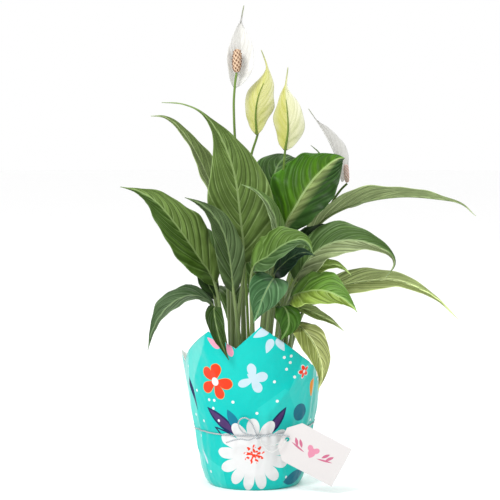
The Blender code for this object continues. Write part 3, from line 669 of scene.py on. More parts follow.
def bladePlace(frames, shape, look, seed, across, along, relief):
    # across runs -1 to 1 from edge to edge, along 0 to 1 from base to tip
    form = {key: shape[key] for key in ("widest", "taper", "tail") if key in shape}
    bend, right = np.abs(across), np.where(across < 0, 0.0, 1.7)
    half = shape["half"] * outline(along, **form)
    half = half * (1 + 0.04 * np.sin(17 * along + seed + 2 * right) * bend)
    # both ends keep a little width, so that they stay closed bodies
    half = np.maximum(half, np.where(along > 0.5, 0.5, 1.2) * (1.05 - along))
    fold = np.radians(np.where(across < 0, shape["fold"][0], shape["fold"][1]))
    fold = fold * np.clip(along / 0.12, 0.2, 1)
    out = across * half * np.cos(fold)
    rise = bend * half * np.sin(fold) - look["curl"] * half * bend ** 2.5
    # the edges wave, each side in its own rhythm
    sway = np.sin(2 * math.pi * look["waves"] * along + seed + right)
    sway = sway + 0.5 * np.sin(2 * math.pi * 2.3 * look["waves"] * along + 2 * seed - right)
    rise = rise + look["wave"] * half * bend ** 2.5 * sway + relief
    return (readFrames(frames, "spot", along) + readFrames(frames, "side", along) * out[:, None]
            + readFrames(frames, "up", along) * rise[:, None]), half


def addBlade(name, frames, shape, look, seed, veins):
    rows = veins * look["rowsPerVein"]
    made = {}

    def slope(across, row):
        # a vein leaves the midrib and climbs towards the edge, less so at both ends
        bend = np.abs(across)
        climb = look["veinRise"] * (0.4 * bend + 0.6 * bend ** 1.6)
        return np.clip(row + climb * (1 - row) * (1 - (1 - row) ** 4), 0, 1)

    def placeIt(u, row):
        across = 2 * u - 1
        along = slope(across, row)
        bend = np.abs(across)
        # the skin swells between the veins and lies flat at the midrib, the edge and both ends
        fade = np.clip(bend * 7, 0, 1) * (1 - bend ** 5)
        fade = fade * np.clip(row * 12, 0, 1) * np.clip((1 - row) * 6, 0, 1)
        crest = 2 * np.abs(np.sin(math.pi * veins * row)) ** 0.9 - 1
        relief = look["ripple"] * fade * crest
        spots, made["half"] = bladePlace(frames, shape, look, seed, across, along, relief)
        return spots

    def unrolled(u, row):
        across = 2 * u - 1
        return {"UVMap": (across * made["half"], veins * row), "bladePlace": (across, slope(across, row))}

    blade = addSheet(name, look["columns"], rows, placeIt, uv=unrolled)
    coverWith(blade, [None, None])
    applyModifier(blade, "SOLIDIFY", thickness=look["blade"] * mm, offset=-1.0, use_even_offset=False,
                  material_offset=1, material_offset_rim=1)
    setSkin(blade, shape["skin"], look["shade"], readAcross(blade), shape.get("veins", 1.0))
    return blade


def addLeaf(node, shape, seed, materials):
    root = (*shape["stem"][0], leafLook["foot"])
    line = smoothLine([root] + shape["stem"][1:] + shape["blade"])
    start = line["knots"][len(shape["stem"])]
    frames = bladeFrames(line, start, shape["face"])
    veins = int(round(frames["length"] / leafLook["veinEvery"]))
    blade = addBlade(node + "Blade", frames, shape, leafLook, seed, veins)
    coverWith(blade, materials)
    # the leaf stalk runs on under the blade as its midrib
    lengths = np.linspace(0, start + leafLook["midribReach"] * frames["length"], leafLook["rings"])
    past = np.clip((lengths - start) / frames["length"], 0, 1)
    parts, thickness = leafLook["thickness"]
    radii = leafLook["petiole"] * np.interp(lengths / start, parts, thickness)
    thinner = leafLook["petiole"] * (thickness[-1] - leafLook["tipLoss"] * past ** 0.7)
    radii = np.where(past > 0, thinner, radii)
    up = np.where((past > 0)[:, None], readFrames(frames, "up", past), frames["up"][0])
    spots = lineAt(line, lengths) - up * (np.clip(past * 12, 0, 1) * radii * 0.75)[:, None]
    stalk = addTube(node + "Stalk", spots, radii, sides=12)
    coverWith(stalk, materials)
    stalk.data.polygons.foreach_set("material_index", [2] * len(stalk.data.polygons))
    words = node.split("_")
    piece = joinPieces(words[0] + "".join(word.capitalize() for word in words[1:]), [blade, stalk])
    finishPiece(piece, [node], materials)


def leafSurface(name, paleShare, underShare, roughness):
    # living leaf: waxy and satin, veins paler and sunk, the skin between them streaked along their run; the
    # pale vein lines are partly a painted sheen, and one flank of each swelling is painted shade
    material, tree, shader = newMaterial(name, {"Roughness": roughness, "Specular IOR Level": 0.13})
    vein = addNode(tree, "SeparateXYZ", {0: addNode(tree, "UVMap", uv_map="UVMap")})
    place = addNode(tree, "SeparateXYZ", {0: addNode(tree, "UVMap", uv_map="bladePlace")})
    spot = addNode(tree, "TexCoord")
    # the stored colour's alpha says how pale the veins of that leaf are, and so how strong their painted
    # sheen is
    skinNode = addNode(tree, "Attribute", attribute_name="skin")
    skin = skinNode.outputs["Color"]
    dark = addNode(tree, "HueSaturation", {"Hue": 0.505, "Saturation": 1.15, "Value": 0.34, "Color": skin})
    pale = addNode(tree, "HueSaturation", {"Hue": 0.495, "Saturation": 0.84, "Value": 1.85, "Color": skin})
    # soft streaks that follow the veins, three or four between two of them
    run = addNode(tree, "CombineXYZ", {
        0: addNode(tree, "Math", {0: vein.outputs["Y"], 1: 2.6}, operation="MULTIPLY"),
        1: addNode(tree, "Math", {0: vein.outputs["X"], 1: 0.045}, operation="MULTIPLY")})
    streak = addNode(tree, "TexNoise", {"Vector": run, "Scale": 1.0, "Detail": 2.0})
    share = addNode(tree, "MapRange", {0: streak, 1: 0.36, 2: 0.6, 3: 0.75, 4: 0.0})
    colour = addNode(tree, "Mix", {0: share, 6: skin, 7: dark}, data_type="RGBA")
    # painted shade: one flank of each swelling between two veins is darker, as if turned away from the light
    turn = addNode(tree, "Math", {0: vein.outputs["Y"], 1: 2 * math.pi, 2: 0.6}, operation="MULTIPLY_ADD")
    paintedFlankShade = addNode(tree, "Math", {0: turn}, operation="SINE")
    share = addNode(tree, "MapRange", {0: paintedFlankShade, 1: -0.3, 2: 0.9, 3: 0.0, 4: 0.72})
    colour = addNode(tree, "Mix", {0: share, 6: colour, 7: dark}, data_type="RGBA")
    # broad mottling, about 20 mm across
    cloud = addNode(tree, "TexNoise", {"Vector": spot.outputs["Object"], "Scale": 50.0, "Detail": 3.0})
    share = addNode(tree, "MapRange", {0: cloud, 1: 0.4, 2: 0.7, 3: 0.0, 4: 0.4})
    colour = addNode(tree, "Mix", {0: share, 6: colour, 7: dark}, data_type="RGBA")
    # veins, one a phase, each a narrow pale line that weakens towards the edge: partly the vein's own paler
    # colour, partly a painted sheen
    turn = addNode(tree, "Math", {0: vein.outputs["Y"], 1: math.pi}, operation="MULTIPLY")
    wave = addNode(tree, "Math", {0: addNode(tree, "Math", {0: turn}, operation="SINE")},
                   operation="ABSOLUTE")
    line = addNode(tree, "MapRange", {0: wave, 1: 0.0, 2: 0.34, 3: paleShare, 4: 0.0},
                   interpolation_type="SMOOTHSTEP")
    uneven = addNode(tree, "MapRange", {0: cloud, 1: 0.35, 2: 0.6, 3: 1.0, 4: 0.45})
    line = addNode(tree, "Math", {0: line, 1: uneven}, operation="MULTIPLY")
    line = addNode(tree, "Math", {0: line, 1: skinNode.outputs["Alpha"]}, operation="MULTIPLY")
    colour = addNode(tree, "Mix", {0: line, 6: colour, 7: pale}, data_type="RGBA")
    # midrib, about 2 mm wide, and the thin bright edge
    away = addNode(tree, "Math", {0: vein.outputs["X"]}, operation="ABSOLUTE")
    rib = addNode(tree, "MapRange", {0: away, 1: 0.6, 2: 1.5, 3: 0.75, 4: 0.0},
                  interpolation_type="SMOOTHSTEP")
    colour = addNode(tree, "Mix", {0: rib, 6: colour, 7: pale}, data_type="RGBA")
    away = addNode(tree, "Math", {0: place.outputs["X"]}, operation="ABSOLUTE")
    edge = addNode(tree, "MapRange", {0: away, 1: 0.955, 2: 1.0, 3: 0.0, 4: 0.55})
    colour = addNode(tree, "Mix", {0: edge, 6: colour, 7: pale}, data_type="RGBA")
    colour = addNode(tree, "Mix", {0: underShare, 6: colour, 7: pale}, data_type="RGBA")
    tree.links.new(result(colour), shader.inputs["Base Color"])
    grain = addNode(tree, "TexNoise", {"Vector": spot.outputs["Object"], "Scale": 700.0, "Detail": 2.0})
    fine = addNode(tree, "Math", {0: grain, 1: 0.3}, operation="MULTIPLY")
    relief = addNode(tree, "Math", {0: streak, 1: 0.8, 2: fine}, operation="MULTIPLY_ADD")
    bump = addNode(tree, "Bump", {"Strength": 0.6, "Distance": 0.0006, "Height": relief})
    tree.links.new(bump.outputs[0], shader.inputs["Normal"])
    return material


def stalkSkin(name, dark, light):
    # stalk: smooth and a little waxy, paler lengthwise streaks, whiter at its foot
    material, tree, shader = newMaterial(name, {"Roughness": 0.4})
    place = addNode(tree, "SeparateXYZ", {0: addNode(tree, "UVMap", uv_map="UVMap")})
    stretched = addNode(tree, "CombineXYZ", {
        0: addNode(tree, "Math", {0: place.outputs["X"], 1: 14.0}, operation="MULTIPLY"),
        1: addNode(tree, "Math", {0: place.outputs["Y"], 1: 0.05}, operation="MULTIPLY")})
    streak = addNode(tree, "TexNoise", {"Vector": stretched, "Scale": 1.0, "Detail": 3.0})
    colour = addNode(tree, "Mix", {0: streak, 6: toLinear(dark), 7: toLinear(light)}, data_type="RGBA")
    foot = addNode(tree, "MapRange", {0: place.outputs["Y"], 1: 0.0, 2: 45.0, 3: 0.5, 4: 0.0})
    colour = addNode(tree, "Mix", {0: foot, 6: colour, 7: toLinear("#95A070")}, data_type="RGBA")
    tree.links.new(result(colour), shader.inputs["Base Color"])
    bump = addNode(tree, "Bump", {"Strength": 0.3, "Distance": 0.0003, "Height": streak})
    tree.links.new(bump.outputs[0], shader.inputs["Normal"])
    return material


def addLeaves():
    upper = leafSurface("waxyLeafUpperSide", 0.75, 0.0, 0.42)
    under = leafSurface("mattLeafUnderside", 0.65, 0.12, 0.55)
    stalk = stalkSkin("leafStalkSkin", "#39531F", "#84965A")
    for index, (node, shape) in enumerate(leaves.items()):
        addLeaf(node, shape, index * 1.9, (upper, under, stalk))


addLeaves()
print("leaves grown:", len(leaves))


# flowers

spatheLook = {"blade": 0.5, "veins": 12, "veinRise": 0.85, "ripple": 0.14, "columns": 32, "rowsPerVein": 8,
              "curl": -0.12, "wave": 0.03, "waves": 3, "shade": 0.74}

# place along the stalk or up the hood, and the radius there
flowerStalkLook = {"foot": 100.9, "rings": 110, "radii": ([0, 0.7, 1], [1.75, 1.5, 1.25])}
hoodRibLook = {"reach": 0.6, "rings": 40, "radii": ([0, 0.2, 0.4, 0.6], [1.4, 1.1, 0.6, 0.25]),
               "colour": "#7C9040", "sunk": 0.8}

# florets sit on a golden-angle spiral; core and relief are shares of the radius
spadixLook = {"florets": 64, "angle": 137.508, "floretRadius": 1.55, "core": 0.72, "relief": 0.28,
              "rows": 72}

flowers = {
    1: dict(
        stalk=[(-4, 4), (-9, 12, 220), (-19, 8, 350), (-22, -8, 410), (-21, -14, 436), (-19, -15.5, 452)],
        spadix=[(-19, -15.7, 452.4), (-18, -15.5, 478)],
        spathe=[(-21, -9.5, 436), (-17.5, -7.5, 450), (-15, -5, 468), (-15, -5, 488), (-14.5, -8, 505),
                (-11, -10, 525)],
        half=15.5, face=[(0.1, -1, 0.1), (0, -1, 0)], fold=(20, 20), widest=0.44,
        taper=0.0, tail=0.2, skin=("#E8E7E2", "#EBEAE5"), spadixRadius=5.6, young=False),
    2: dict(
        stalk=[(0, 18), (-2, 20, 240), (-6, 14, 340), (4, 8, 385), (8, 7.5, 405)],
        spadix=[(8, 7.5, 405.4), (10, 8.5, 424)],
        spathe=[(3, 2, 385), (2, -3, 408), (5, -5, 427), (12, -2, 445), (14, 2, 459), (8, 5, 477)],
        half=19, face=[(0.25, 1, 0), (0.3, 1, 0)], fold=(30, 30), widest=0.46, taper=0.3, tail=0.2,
        skin=("#DEDD9A", "#D4D286"), spadixRadius=3.4, young=True),
    3: dict(
        stalk=[(10, 10), (20, 12, 230), (30, 6, 320), (34, -4, 367), (36, -6.5, 384)],
        spadix=[(36, -6.5, 384.4), (36, -6, 404)],
        spathe=[(34, -9.5, 368), (37, -15, 390), (36, -17, 411), (34, -14, 430), (35, -9, 442),
                (37, -5, 458)],
        half=19, face=[(0.1, 1, 0), (0.1, 1, 0)], fold=(26, 30), widest=0.42, taper=0.3, tail=0.2,
        skin=("#ECECC0", "#CCCA78"), spadixRadius=3.4, young=True),
    4: dict(
        stalk=[(19, 23), (40, 33, 220), (73, 34, 282), (87, 28, 309), (96, 21, 323), (103, 18, 330.2)],
        spadix=[(103, 18, 331.2), (101.5, 17, 352)],
        spathe=[(98, 24, 332), (94, 27, 350), (88, 27, 367), (80, 24, 383), (71, 20, 397), (60, 14, 413)],
        half=15, face=[(0.9, -0.5, 0.1), (0.7, -0.5, 0.4)], fold=(26, 26), widest=0.4, taper=0.5, tail=0.15,
        skin=("#E4E3DE", "#DDDCD7"), spadixRadius=3.2, young=False),
}


def spatheSkin():
    # petal-like hood: thin, matt and a little translucent, with fine veins along it and a greener foot
    material, tree, shader = newMaterial("softSpatheFlesh", {
        "Roughness": 0.55, "Subsurface Weight": 0.1, "Subsurface Scale": 0.003,
        "Subsurface Radius": (1.0, 1.0, 0.9)})
    place = addNode(tree, "SeparateXYZ", {0: addNode(tree, "UVMap", uv_map="bladePlace")})
    vein = addNode(tree, "SeparateXYZ", {0: addNode(tree, "UVMap", uv_map="UVMap")})
    skin = addNode(tree, "Attribute", attribute_name="skin").outputs["Color"]
    dark = addNode(tree, "HueSaturation", {"Hue": 0.515, "Saturation": 1.35, "Value": 0.76, "Color": skin})
    pale = addNode(tree, "HueSaturation", {"Hue": 0.5, "Saturation": 0.5, "Value": 1.12, "Color": skin})
    away = addNode(tree, "Math", {0: place.outputs["X"]}, operation="ABSOLUTE")
    rim = addNode(tree, "MapRange", {0: away, 1: 0.45, 2: 1.0, 3: 0.0, 4: 0.75},
                  interpolation_type="SMOOTHSTEP")
    colour = addNode(tree, "Mix", {0: rim, 6: skin, 7: pale}, data_type="RGBA")
    # soft streaks that sweep from the rib to the tip
    run = addNode(tree, "CombineXYZ", {
        0: addNode(tree, "Math", {0: vein.outputs["Y"], 1: 1.6}, operation="MULTIPLY"),
        1: addNode(tree, "Math", {0: vein.outputs["X"], 1: 0.06}, operation="MULTIPLY")})
    streak = addNode(tree, "TexNoise", {"Vector": run, "Scale": 1.0, "Detail": 3.0})
    share = addNode(tree, "MapRange", {0: streak, 1: 0.42, 2: 0.68, 3: 0.0, 4: 0.75})
    colour = addNode(tree, "Mix", {0: share, 6: colour, 7: dark}, data_type="RGBA")
    foot = addNode(tree, "MapRange", {0: place.outputs["Y"], 1: 0.0, 2: 0.4, 3: 0.5, 4: 0.0})
    colour = addNode(tree, "Mix", {0: foot, 6: colour, 7: dark}, data_type="RGBA")
    tip = addNode(tree, "MapRange", {0: place.outputs["Y"], 1: 0.84, 2: 0.96, 3: 0.0, 4: 0.75})
    colour = addNode(tree, "Mix", {0: tip, 6: colour, 7: toLinear("#8E9C62")}, data_type="RGBA")
    rib = addNode(tree, "MapRange", {0: away, 1: 0.02, 2: 0.09, 3: 0.7, 4: 0.0},
                  interpolation_type="SMOOTHSTEP")
    colour = addNode(tree, "Mix", {0: rib, 6: colour, 7: dark}, data_type="RGBA")
    tree.links.new(result(colour), shader.inputs["Base Color"])
    bump = addNode(tree, "Bump", {"Strength": 0.6, "Distance": 0.0005, "Height": streak})
    tree.links.new(bump.outputs[0], shader.inputs["Normal"])
    return material


def spadixSkin(name, hollow, tip):
    # tightly packed florets: cream in the hollows, tan to brown on the knobs, dry and matt
    material, tree, shader = newMaterial(name, {"Roughness": 0.75})
    knob = addNode(tree, "Attribute", attribute_name="knob")
    level = addNode(tree, "MapRange", {0: knob.outputs["Fac"], 1: 0.1, 2: 0.5, 3: 0.0, 4: 1.0})
    colour = addNode(tree, "Mix", {0: level, 6: toLinear(hollow), 7: toLinear(tip)}, data_type="RGBA")
    spot = addNode(tree, "TexCoord")
    cloud = addNode(tree, "TexNoise", {"Vector": spot.outputs["Object"], "Scale": 400.0, "Detail": 2.0})
    share = addNode(tree, "MapRange", {0: cloud, 1: 0.45, 2: 0.65, 3: 0.0, 4: 0.4})
    colour = addNode(tree, "Mix", {0: share, 6: colour, 7: toLinear(hollow)}, data_type="RGBA")
    tree.links.new(result(colour), shader.inputs["Base Color"])
    bump = addNode(tree, "Bump", {"Strength": 0.4, "Distance": 0.0003, "Height": cloud})
    tree.links.new(bump.outputs[0], shader.inputs["Normal"])
    return material


def addSpadix(number, foot, top, radius, material):
    foot, top = np.array(foot, dtype=float), np.array(top, dtype=float)
    clearSelection()
    rows = spadixLook["rows"]
    bpy.ops.mesh.primitive_uv_sphere_add(segments=rows, ring_count=rows, radius=1.0)
    piece = bpy.context.object
    piece.name = f"spadix{number}"
    mesh = piece.data
    flat = np.empty(len(mesh.vertices) * 3)
    mesh.vertices.foreach_get("co", flat)
    ball = flat.reshape(-1, 3)
    axis = unit(top - foot)
    half = np.linalg.norm(top - foot) / 2
    side = unit(np.cross(axis, (0, 1, 0.1)))
    other = np.cross(axis, side)
    height = np.arcsin(np.clip(ball[:, 2], -1, 1)) / (math.pi / 2)
    waist = np.clip(1 - np.abs(height) ** 3, 0, 1) ** 0.5
    index = np.arange(spadixLook["florets"])
    level = 2 * (index + 0.5) / spadixLook["florets"] - 1
    angle = index * math.radians(spadixLook["angle"])
    away = np.arctan2(ball[:, 1], ball[:, 0])
    turn = (away[:, None] - angle + math.pi) % (2 * math.pi) - math.pi
    gap = np.hypot(turn * radius, (height[:, None] - level) * half).min(axis=1)
    knob = np.clip(1 - (gap / spadixLook["floretRadius"]) ** 2, 0, 1)
    reach = radius * (spadixLook["core"] * waist + spadixLook["relief"] * knob * np.clip(waist * 2, 0, 1))
    out = np.cos(away)[:, None] * side + np.sin(away)[:, None] * other
    spots = (foot + top) / 2 + axis * (height * half)[:, None] + out * reach[:, None]
    mesh.vertices.foreach_set("co", (spots * mm).ravel())
    mesh.shade_smooth()
    mesh.update()
    setAttribute(piece, "knob", knob)
    finishPiece(piece, [f"spadix_{number}"], [material])


def addFlowers():
    flesh = spatheSkin()
    ripe = spadixSkin("ripeSpadixFlorets", "#C9AE92", "#62391C")
    fresh = spadixSkin("freshSpadixFlorets", "#E6DAD5", "#C9A79B")
    stalk = stalkSkin("flowerStalkSkin", "#38540F", "#718F33")
    for number, shape in flowers.items():
        root = (*shape["stalk"][0], flowerStalkLook["foot"])
        line = smoothLine([root] + shape["stalk"][1:])
        spots = lineAt(line, np.linspace(0, line["length"], flowerStalkLook["rings"]))
        radii = np.interp(np.linspace(0, 1, flowerStalkLook["rings"]), *flowerStalkLook["radii"])
        bar = addTube(f"flowerStalk{number}", spots, radii, sides=14)
        finishPiece(bar, [f"flower_stalk_{number}"], [stalk])
        foot, top = shape["spadix"]
        addSpadix(number, foot, top, shape["spadixRadius"], ripe if number == 1 else fresh)
        line = smoothLine(shape["spathe"])
        frames = bladeFrames(line, 0.0, shape["face"])
        parts = [addBlade(f"spathe{number}", frames, shape, spatheLook, number * 1.3, spatheLook["veins"])]
        if shape["young"]:
            # the stalk runs on up the back of the closed hood as a ridge
            part = np.linspace(0, hoodRibLook["reach"], hoodRibLook["rings"])
            spots = readFrames(frames, "spot", part) - readFrames(frames, "up", part) * hoodRibLook["sunk"]
            rib = addTube("rib", spots, np.interp(part, *hoodRibLook["radii"]), sides=10)
            middle = np.zeros(len(rib.data.vertices))
            setSkin(rib, (hoodRibLook["colour"],) * 2, spatheLook["shade"], middle)
            parts.append(rib)
        for piece in parts:
            coverWith(piece, [flesh, flesh])
        piece = joinPieces(f"spathe{number}", parts)
        finishPiece(piece, [f"spathe_{number}"], [flesh, flesh])


addFlowers()
print("flowers open:", len(flowers))


# printed film wrap

printColours = {
    # facet, paler and greyer are not inks: they paint light and shade on the film's panels
    "ground": "#00ADA6", "cloud": "#1DB8AC", "facet": "#5FD6CB", "paler": "#6CC4BB", "greyer": "#4B9F92",
    "red": "#D8371A", "white": "#CFCFCF", "pale": "#AEC3CC", "pink": "#D68FA6", "navy": "#14224C",
    "plum": "#442C5C", "teal": "#056C84", "deep": "#046276", "orange": "#C8812C",
}


def petalsAround(x, y, turns, away, length, width, ink):
    # one petal for every turn, its middle that far away from the flower's own
    return [("petal", x + away * math.cos(math.radians(turn)), y + away * math.sin(math.radians(turn)),
             turn, length, width, ink) for turn in turns]


# each motif: kind, place along the wrap and up it in mm, turn in degrees, half length, half width, colour
wrapPrint = [
    ("leaf", -37, 77, -38, 24, 6.5, "navy"), ("leaf", -37, 77, -38, 20, 4.2, "plum"),
    ("leaf", -23, 79, -62, 14, 5.5, "teal"), ("leaf", -32, 61, -30, 19, 5.0, "navy"),
    ("leaf", -32, 61, -30, 15, 3.0, "ground"),
    ("leaf", 25, 77, 57, 20, 5.5, "navy"), ("leaf", 25, 77, 57, 16, 3.3, "plum"),
    ("leaf", 62, 12, 10, 20, 8.0, "deep"), ("leaf", -81, 106, -72, 22, 2.4, "navy"),
    ("petal", -74, 34, -62, 9, 2.6, "pale"),
    ("leaf", 89, 150, 80, 30, 13, "white"),
    ("petal", -43, 163, -35, 9, 5.0, "pink"), ("petal", -25, 158, -75, 9, 4.6, "pink"),
    ("petal", 7, 175, 30, 9, 6.0, "pale"), ("petal", 15, 161, 70, 8, 5.5, "pale"),
    ("petal", 27, 162, 120, 8, 5.5, "pale"),
    *petalsAround(-42, 121, (137, 83, -7, -69, 214), 10.2, 9.9, 8.2, "orange"),
    *petalsAround(-42, 121, (137, 83, -7, -69, 214), 10.1, 9.3, 7.5, "red"),
    ("dot", -42, 121, 0, 4.6, 4.6, "white"),
    ("flower5", 55, 131, 40, 8, 8, "white"), ("flower5", 55, 131, 40, 7, 7, "red"),
    ("dot", 55, 131, 0, 2, 2, "white"),
    ("petal", -2, 133, 100, 9.5, 6.0, "pale"), ("petal", 5, 127, 15, 9, 7.0, "pale"),
    ("petal", -8, 122, 205, 9, 5.6, "pale"), ("petal", 2, 119, -62, 9, 6.4, "pale"),
    ("petal", -2, 126, -45, 7, 4.0, "pale"),
    ("petal", 71, 112, 80, 10, 6, "orange"), ("dot", 55, 86, 0, 9.5, 9.5, "deep"),
    ("flower13", 0, 41, 10, 47, 41, "white"),
    ("burst", 0, 42, 12, 13, 11, "red"),
]
# small white dots: place along the wrap and up it
wrapDots = [(39, 149), (31, 148), (38, 142), (34, 135), (43, 126), (21, 122), (24, 101), (3, 88),
            (-22, 100), (-45, 100), (-52, 100), (-47, 91), (-72, 108), (-81, 80), (-65, 75), (-77, 57),
            (-41, 78), (66, 60), (80, 74), (88, 118), (92, 40), (-96, 60), (-92, 132), (100, 96),
            (-66, 18), (46, 14)]
dotRadius = 1.6
wrapRepeat = 220.0  # the pattern comes back after half the way round

# petals of each round motif, how deep the cuts between them go, and how blunt the petals are
roundMotifs = {"flower5": (5, 0.66, 0.75), "flower13": (13, 0.46, 0.5), "burst": (9, 0.9, 0.75)}


def drawMotif(tree, place, kind, x, y, turn, length, width):
    # answers 1 inside the motif and 0 outside it
    local = addNode(tree, "Mapping", {
        "Vector": place, "Location": (x, y, 0), "Rotation": (0, 0, math.radians(turn)),
        "Scale": (length, width, 1)}, vector_type="TEXTURE")
    away = addNode(tree, "VectorMath", {0: local}, operation="LENGTH").outputs["Value"]
    if kind == "dot":
        return addNode(tree, "Math", {0: away, 1: 1.0}, operation="LESS_THAN")
    axes = addNode(tree, "SeparateXYZ", {0: local})
    if kind in ("leaf", "petal"):
        square = addNode(tree, "Math", {0: axes.outputs["X"], 1: 2.0}, operation="POWER")
        limit = addNode(tree, "Math", {0: 1.0, 1: square}, operation="SUBTRACT")
        if kind == "petal":
            # a petal is blunter and fuller towards its outer end
            limit = addNode(tree, "Math", {0: limit, 1: 0.6}, operation="POWER")
            fuller = addNode(tree, "Math", {0: axes.outputs["X"], 1: 0.35, 2: 0.7},
                             operation="MULTIPLY_ADD")
            limit = addNode(tree, "Math", {0: limit, 1: fuller}, operation="MULTIPLY")
        side = addNode(tree, "Math", {0: axes.outputs["Y"]}, operation="ABSOLUTE")
        return addNode(tree, "Math", {0: side, 1: limit}, operation="LESS_THAN")
    petals, depth, power = roundMotifs[kind]
    angle = addNode(tree, "Math", {0: axes.outputs["Y"], 1: axes.outputs["X"]}, operation="ARCTAN2")
    phase = addNode(tree, "Math", {0: angle, 1: petals / 2}, operation="MULTIPLY")
    wave = addNode(tree, "Math", {0: addNode(tree, "Math", {0: phase}, operation="COSINE")},
                   operation="ABSOLUTE")
    wave = addNode(tree, "Math", {0: wave, 1: power}, operation="POWER")
    reach = addNode(tree, "Math", {0: wave, 1: depth, 2: 1 - depth}, operation="MULTIPLY_ADD")
    inside = addNode(tree, "Math", {0: away, 1: reach}, operation="LESS_THAN")
    if kind != "burst":
        return inside
    # its arms are broken into loose short strokes
    patchy = addNode(tree, "TexNoise", {"Vector": local, "Scale": 3.4, "Detail": 0.0})
    patchy = addNode(tree, "Math", {0: patchy, 1: 0.44}, operation="GREATER_THAN")
    return addNode(tree, "Math", {0: inside, 1: patchy}, operation="MULTIPLY")


def printedFilm():
    # thin glossy film with flat inks, soft crumple between its folds
    material, tree, shader = newMaterial("glossyPrintedFilm", {
        "Roughness": 0.28, "Specular IOR Level": 0.14})
    raw = addNode(tree, "SeparateXYZ", {0: addNode(tree, "UVMap", uv_map="UVMap")})
    wrapped = addNode(tree, "Math", {0: raw.outputs["X"], 1: wrapRepeat / 2, 2: -wrapRepeat / 2},
                      operation="WRAP")
    place = addNode(tree, "CombineXYZ", {0: wrapped, 1: raw.outputs["Y"]})
    spot = addNode(tree, "TexCoord")
    cloud = addNode(tree, "TexNoise", {"Vector": spot.outputs["Object"], "Scale": 14.0, "Detail": 1.0})
    share = addNode(tree, "MapRange", {0: cloud, 1: 0.35, 2: 0.7, 3: 0.0, 4: 0.5})
    colour = addNode(tree, "Mix", {0: share, 6: toLinear(printColours["ground"]),
                                   7: toLinear(printColours["cloud"])}, data_type="RGBA")
    # painted light and shade: flat facets between creases, some 50 mm across, each painted a little paler or
    # darker as if it faced the light at its own angle
    facet = addNode(tree, "Mapping", {"Vector": place, "Rotation": (0, 0, 0.5), "Scale": (0.026, 0.014, 1)},
                    vector_type="POINT")
    cell = addNode(tree, "TexVoronoi", {"Vector": facet, "Scale": 1.0}, voronoi_dimensions="2D")
    cell = addNode(tree, "SeparateXYZ", {0: cell.outputs["Position"]})
    mixed = addNode(tree, "Math", {0: cell.outputs["X"], 1: 3.7}, operation="MULTIPLY")
    share = addNode(tree, "Math", {0: mixed}, operation="SINE")
    share = addNode(tree, "MapRange", {0: share, 1: 0.2, 2: 1.0, 3: 0.0, 4: 0.22})
    colour = addNode(tree, "Mix", {0: share, 6: colour, 7: toLinear(printColours["facet"])},
                     data_type="RGBA")
    # painted light and shade: the panel left of the first fold is painted paler, as if lit, and the far
    # right one greyer, as if in shade
    slope = addNode(tree, "MapRange", {0: raw.outputs["Y"], 1: 120.0, 2: 160.0, 3: -76.0, 4: -54.0})
    slope = addNode(tree, "Math", {0: slope, 1: raw.outputs["X"]}, operation="SUBTRACT")
    left = addNode(tree, "MapRange", {0: slope, 1: -1.0, 2: 1.5, 3: 0.0, 4: 0.55})
    colour = addNode(tree, "Mix", {0: left, 6: colour, 7: toLinear(printColours["paler"])},
                     data_type="RGBA")
    right = addNode(tree, "MapRange", {0: raw.outputs["X"], 1: 64.0, 2: 69.0, 3: 0.0, 4: 0.5})
    colour = addNode(tree, "Mix", {0: right, 6: colour, 7: toLinear(printColours["greyer"])},
                     data_type="RGBA")
    for kind, x, y, turn, length, width, ink in wrapPrint:
        mask = drawMotif(tree, place, kind, x, y, turn, length, width)
        colour = addNode(tree, "Mix", {0: mask, 6: colour, 7: toLinear(printColours[ink])},
                         data_type="RGBA")
    for x, y in wrapDots:
        mask = drawMotif(tree, place, "dot", x, y, 0, dotRadius, dotRadius)
        colour = addNode(tree, "Mix", {0: mask, 6: colour, 7: toLinear(printColours["white"])},
                         data_type="RGBA")
    tree.links.new(result(colour), shader.inputs["Base Color"])
    crumple = addNode(tree, "TexNoise", {"Vector": spot.outputs["Object"], "Scale": 45.0, "Detail": 2.0,
                                         "Roughness": 0.6})
    bump = addNode(tree, "Bump", {"Strength": 0.9, "Distance": 0.003, "Height": crumple})
    tree.links.new(bump.outputs[0], shader.inputs["Normal"])
    return material


def filmInside():
    # unprinted back of the film: white and satin; its faint glow is painted light, standing in for daylight
    # coming through the film from outside
    material, tree, shader = newMaterial("whiteFilmBack", {
        "Roughness": 0.4, "Emission Color": toLinear("#DDF2EF"), "Emission Strength": 0.3})
    spot = addNode(tree, "TexCoord")
    cloud = addNode(tree, "TexNoise", {"Vector": spot.outputs["Object"], "Scale": 30.0, "Detail": 2.0})
    colour = addNode(tree, "Mix", {0: cloud, 6: toLinear("#F1F7F6"), 7: toLinear("#FBFDFC")},
                     data_type="RGBA")
    tree.links.new(result(colour), shader.inputs["Base Color"])
    return material


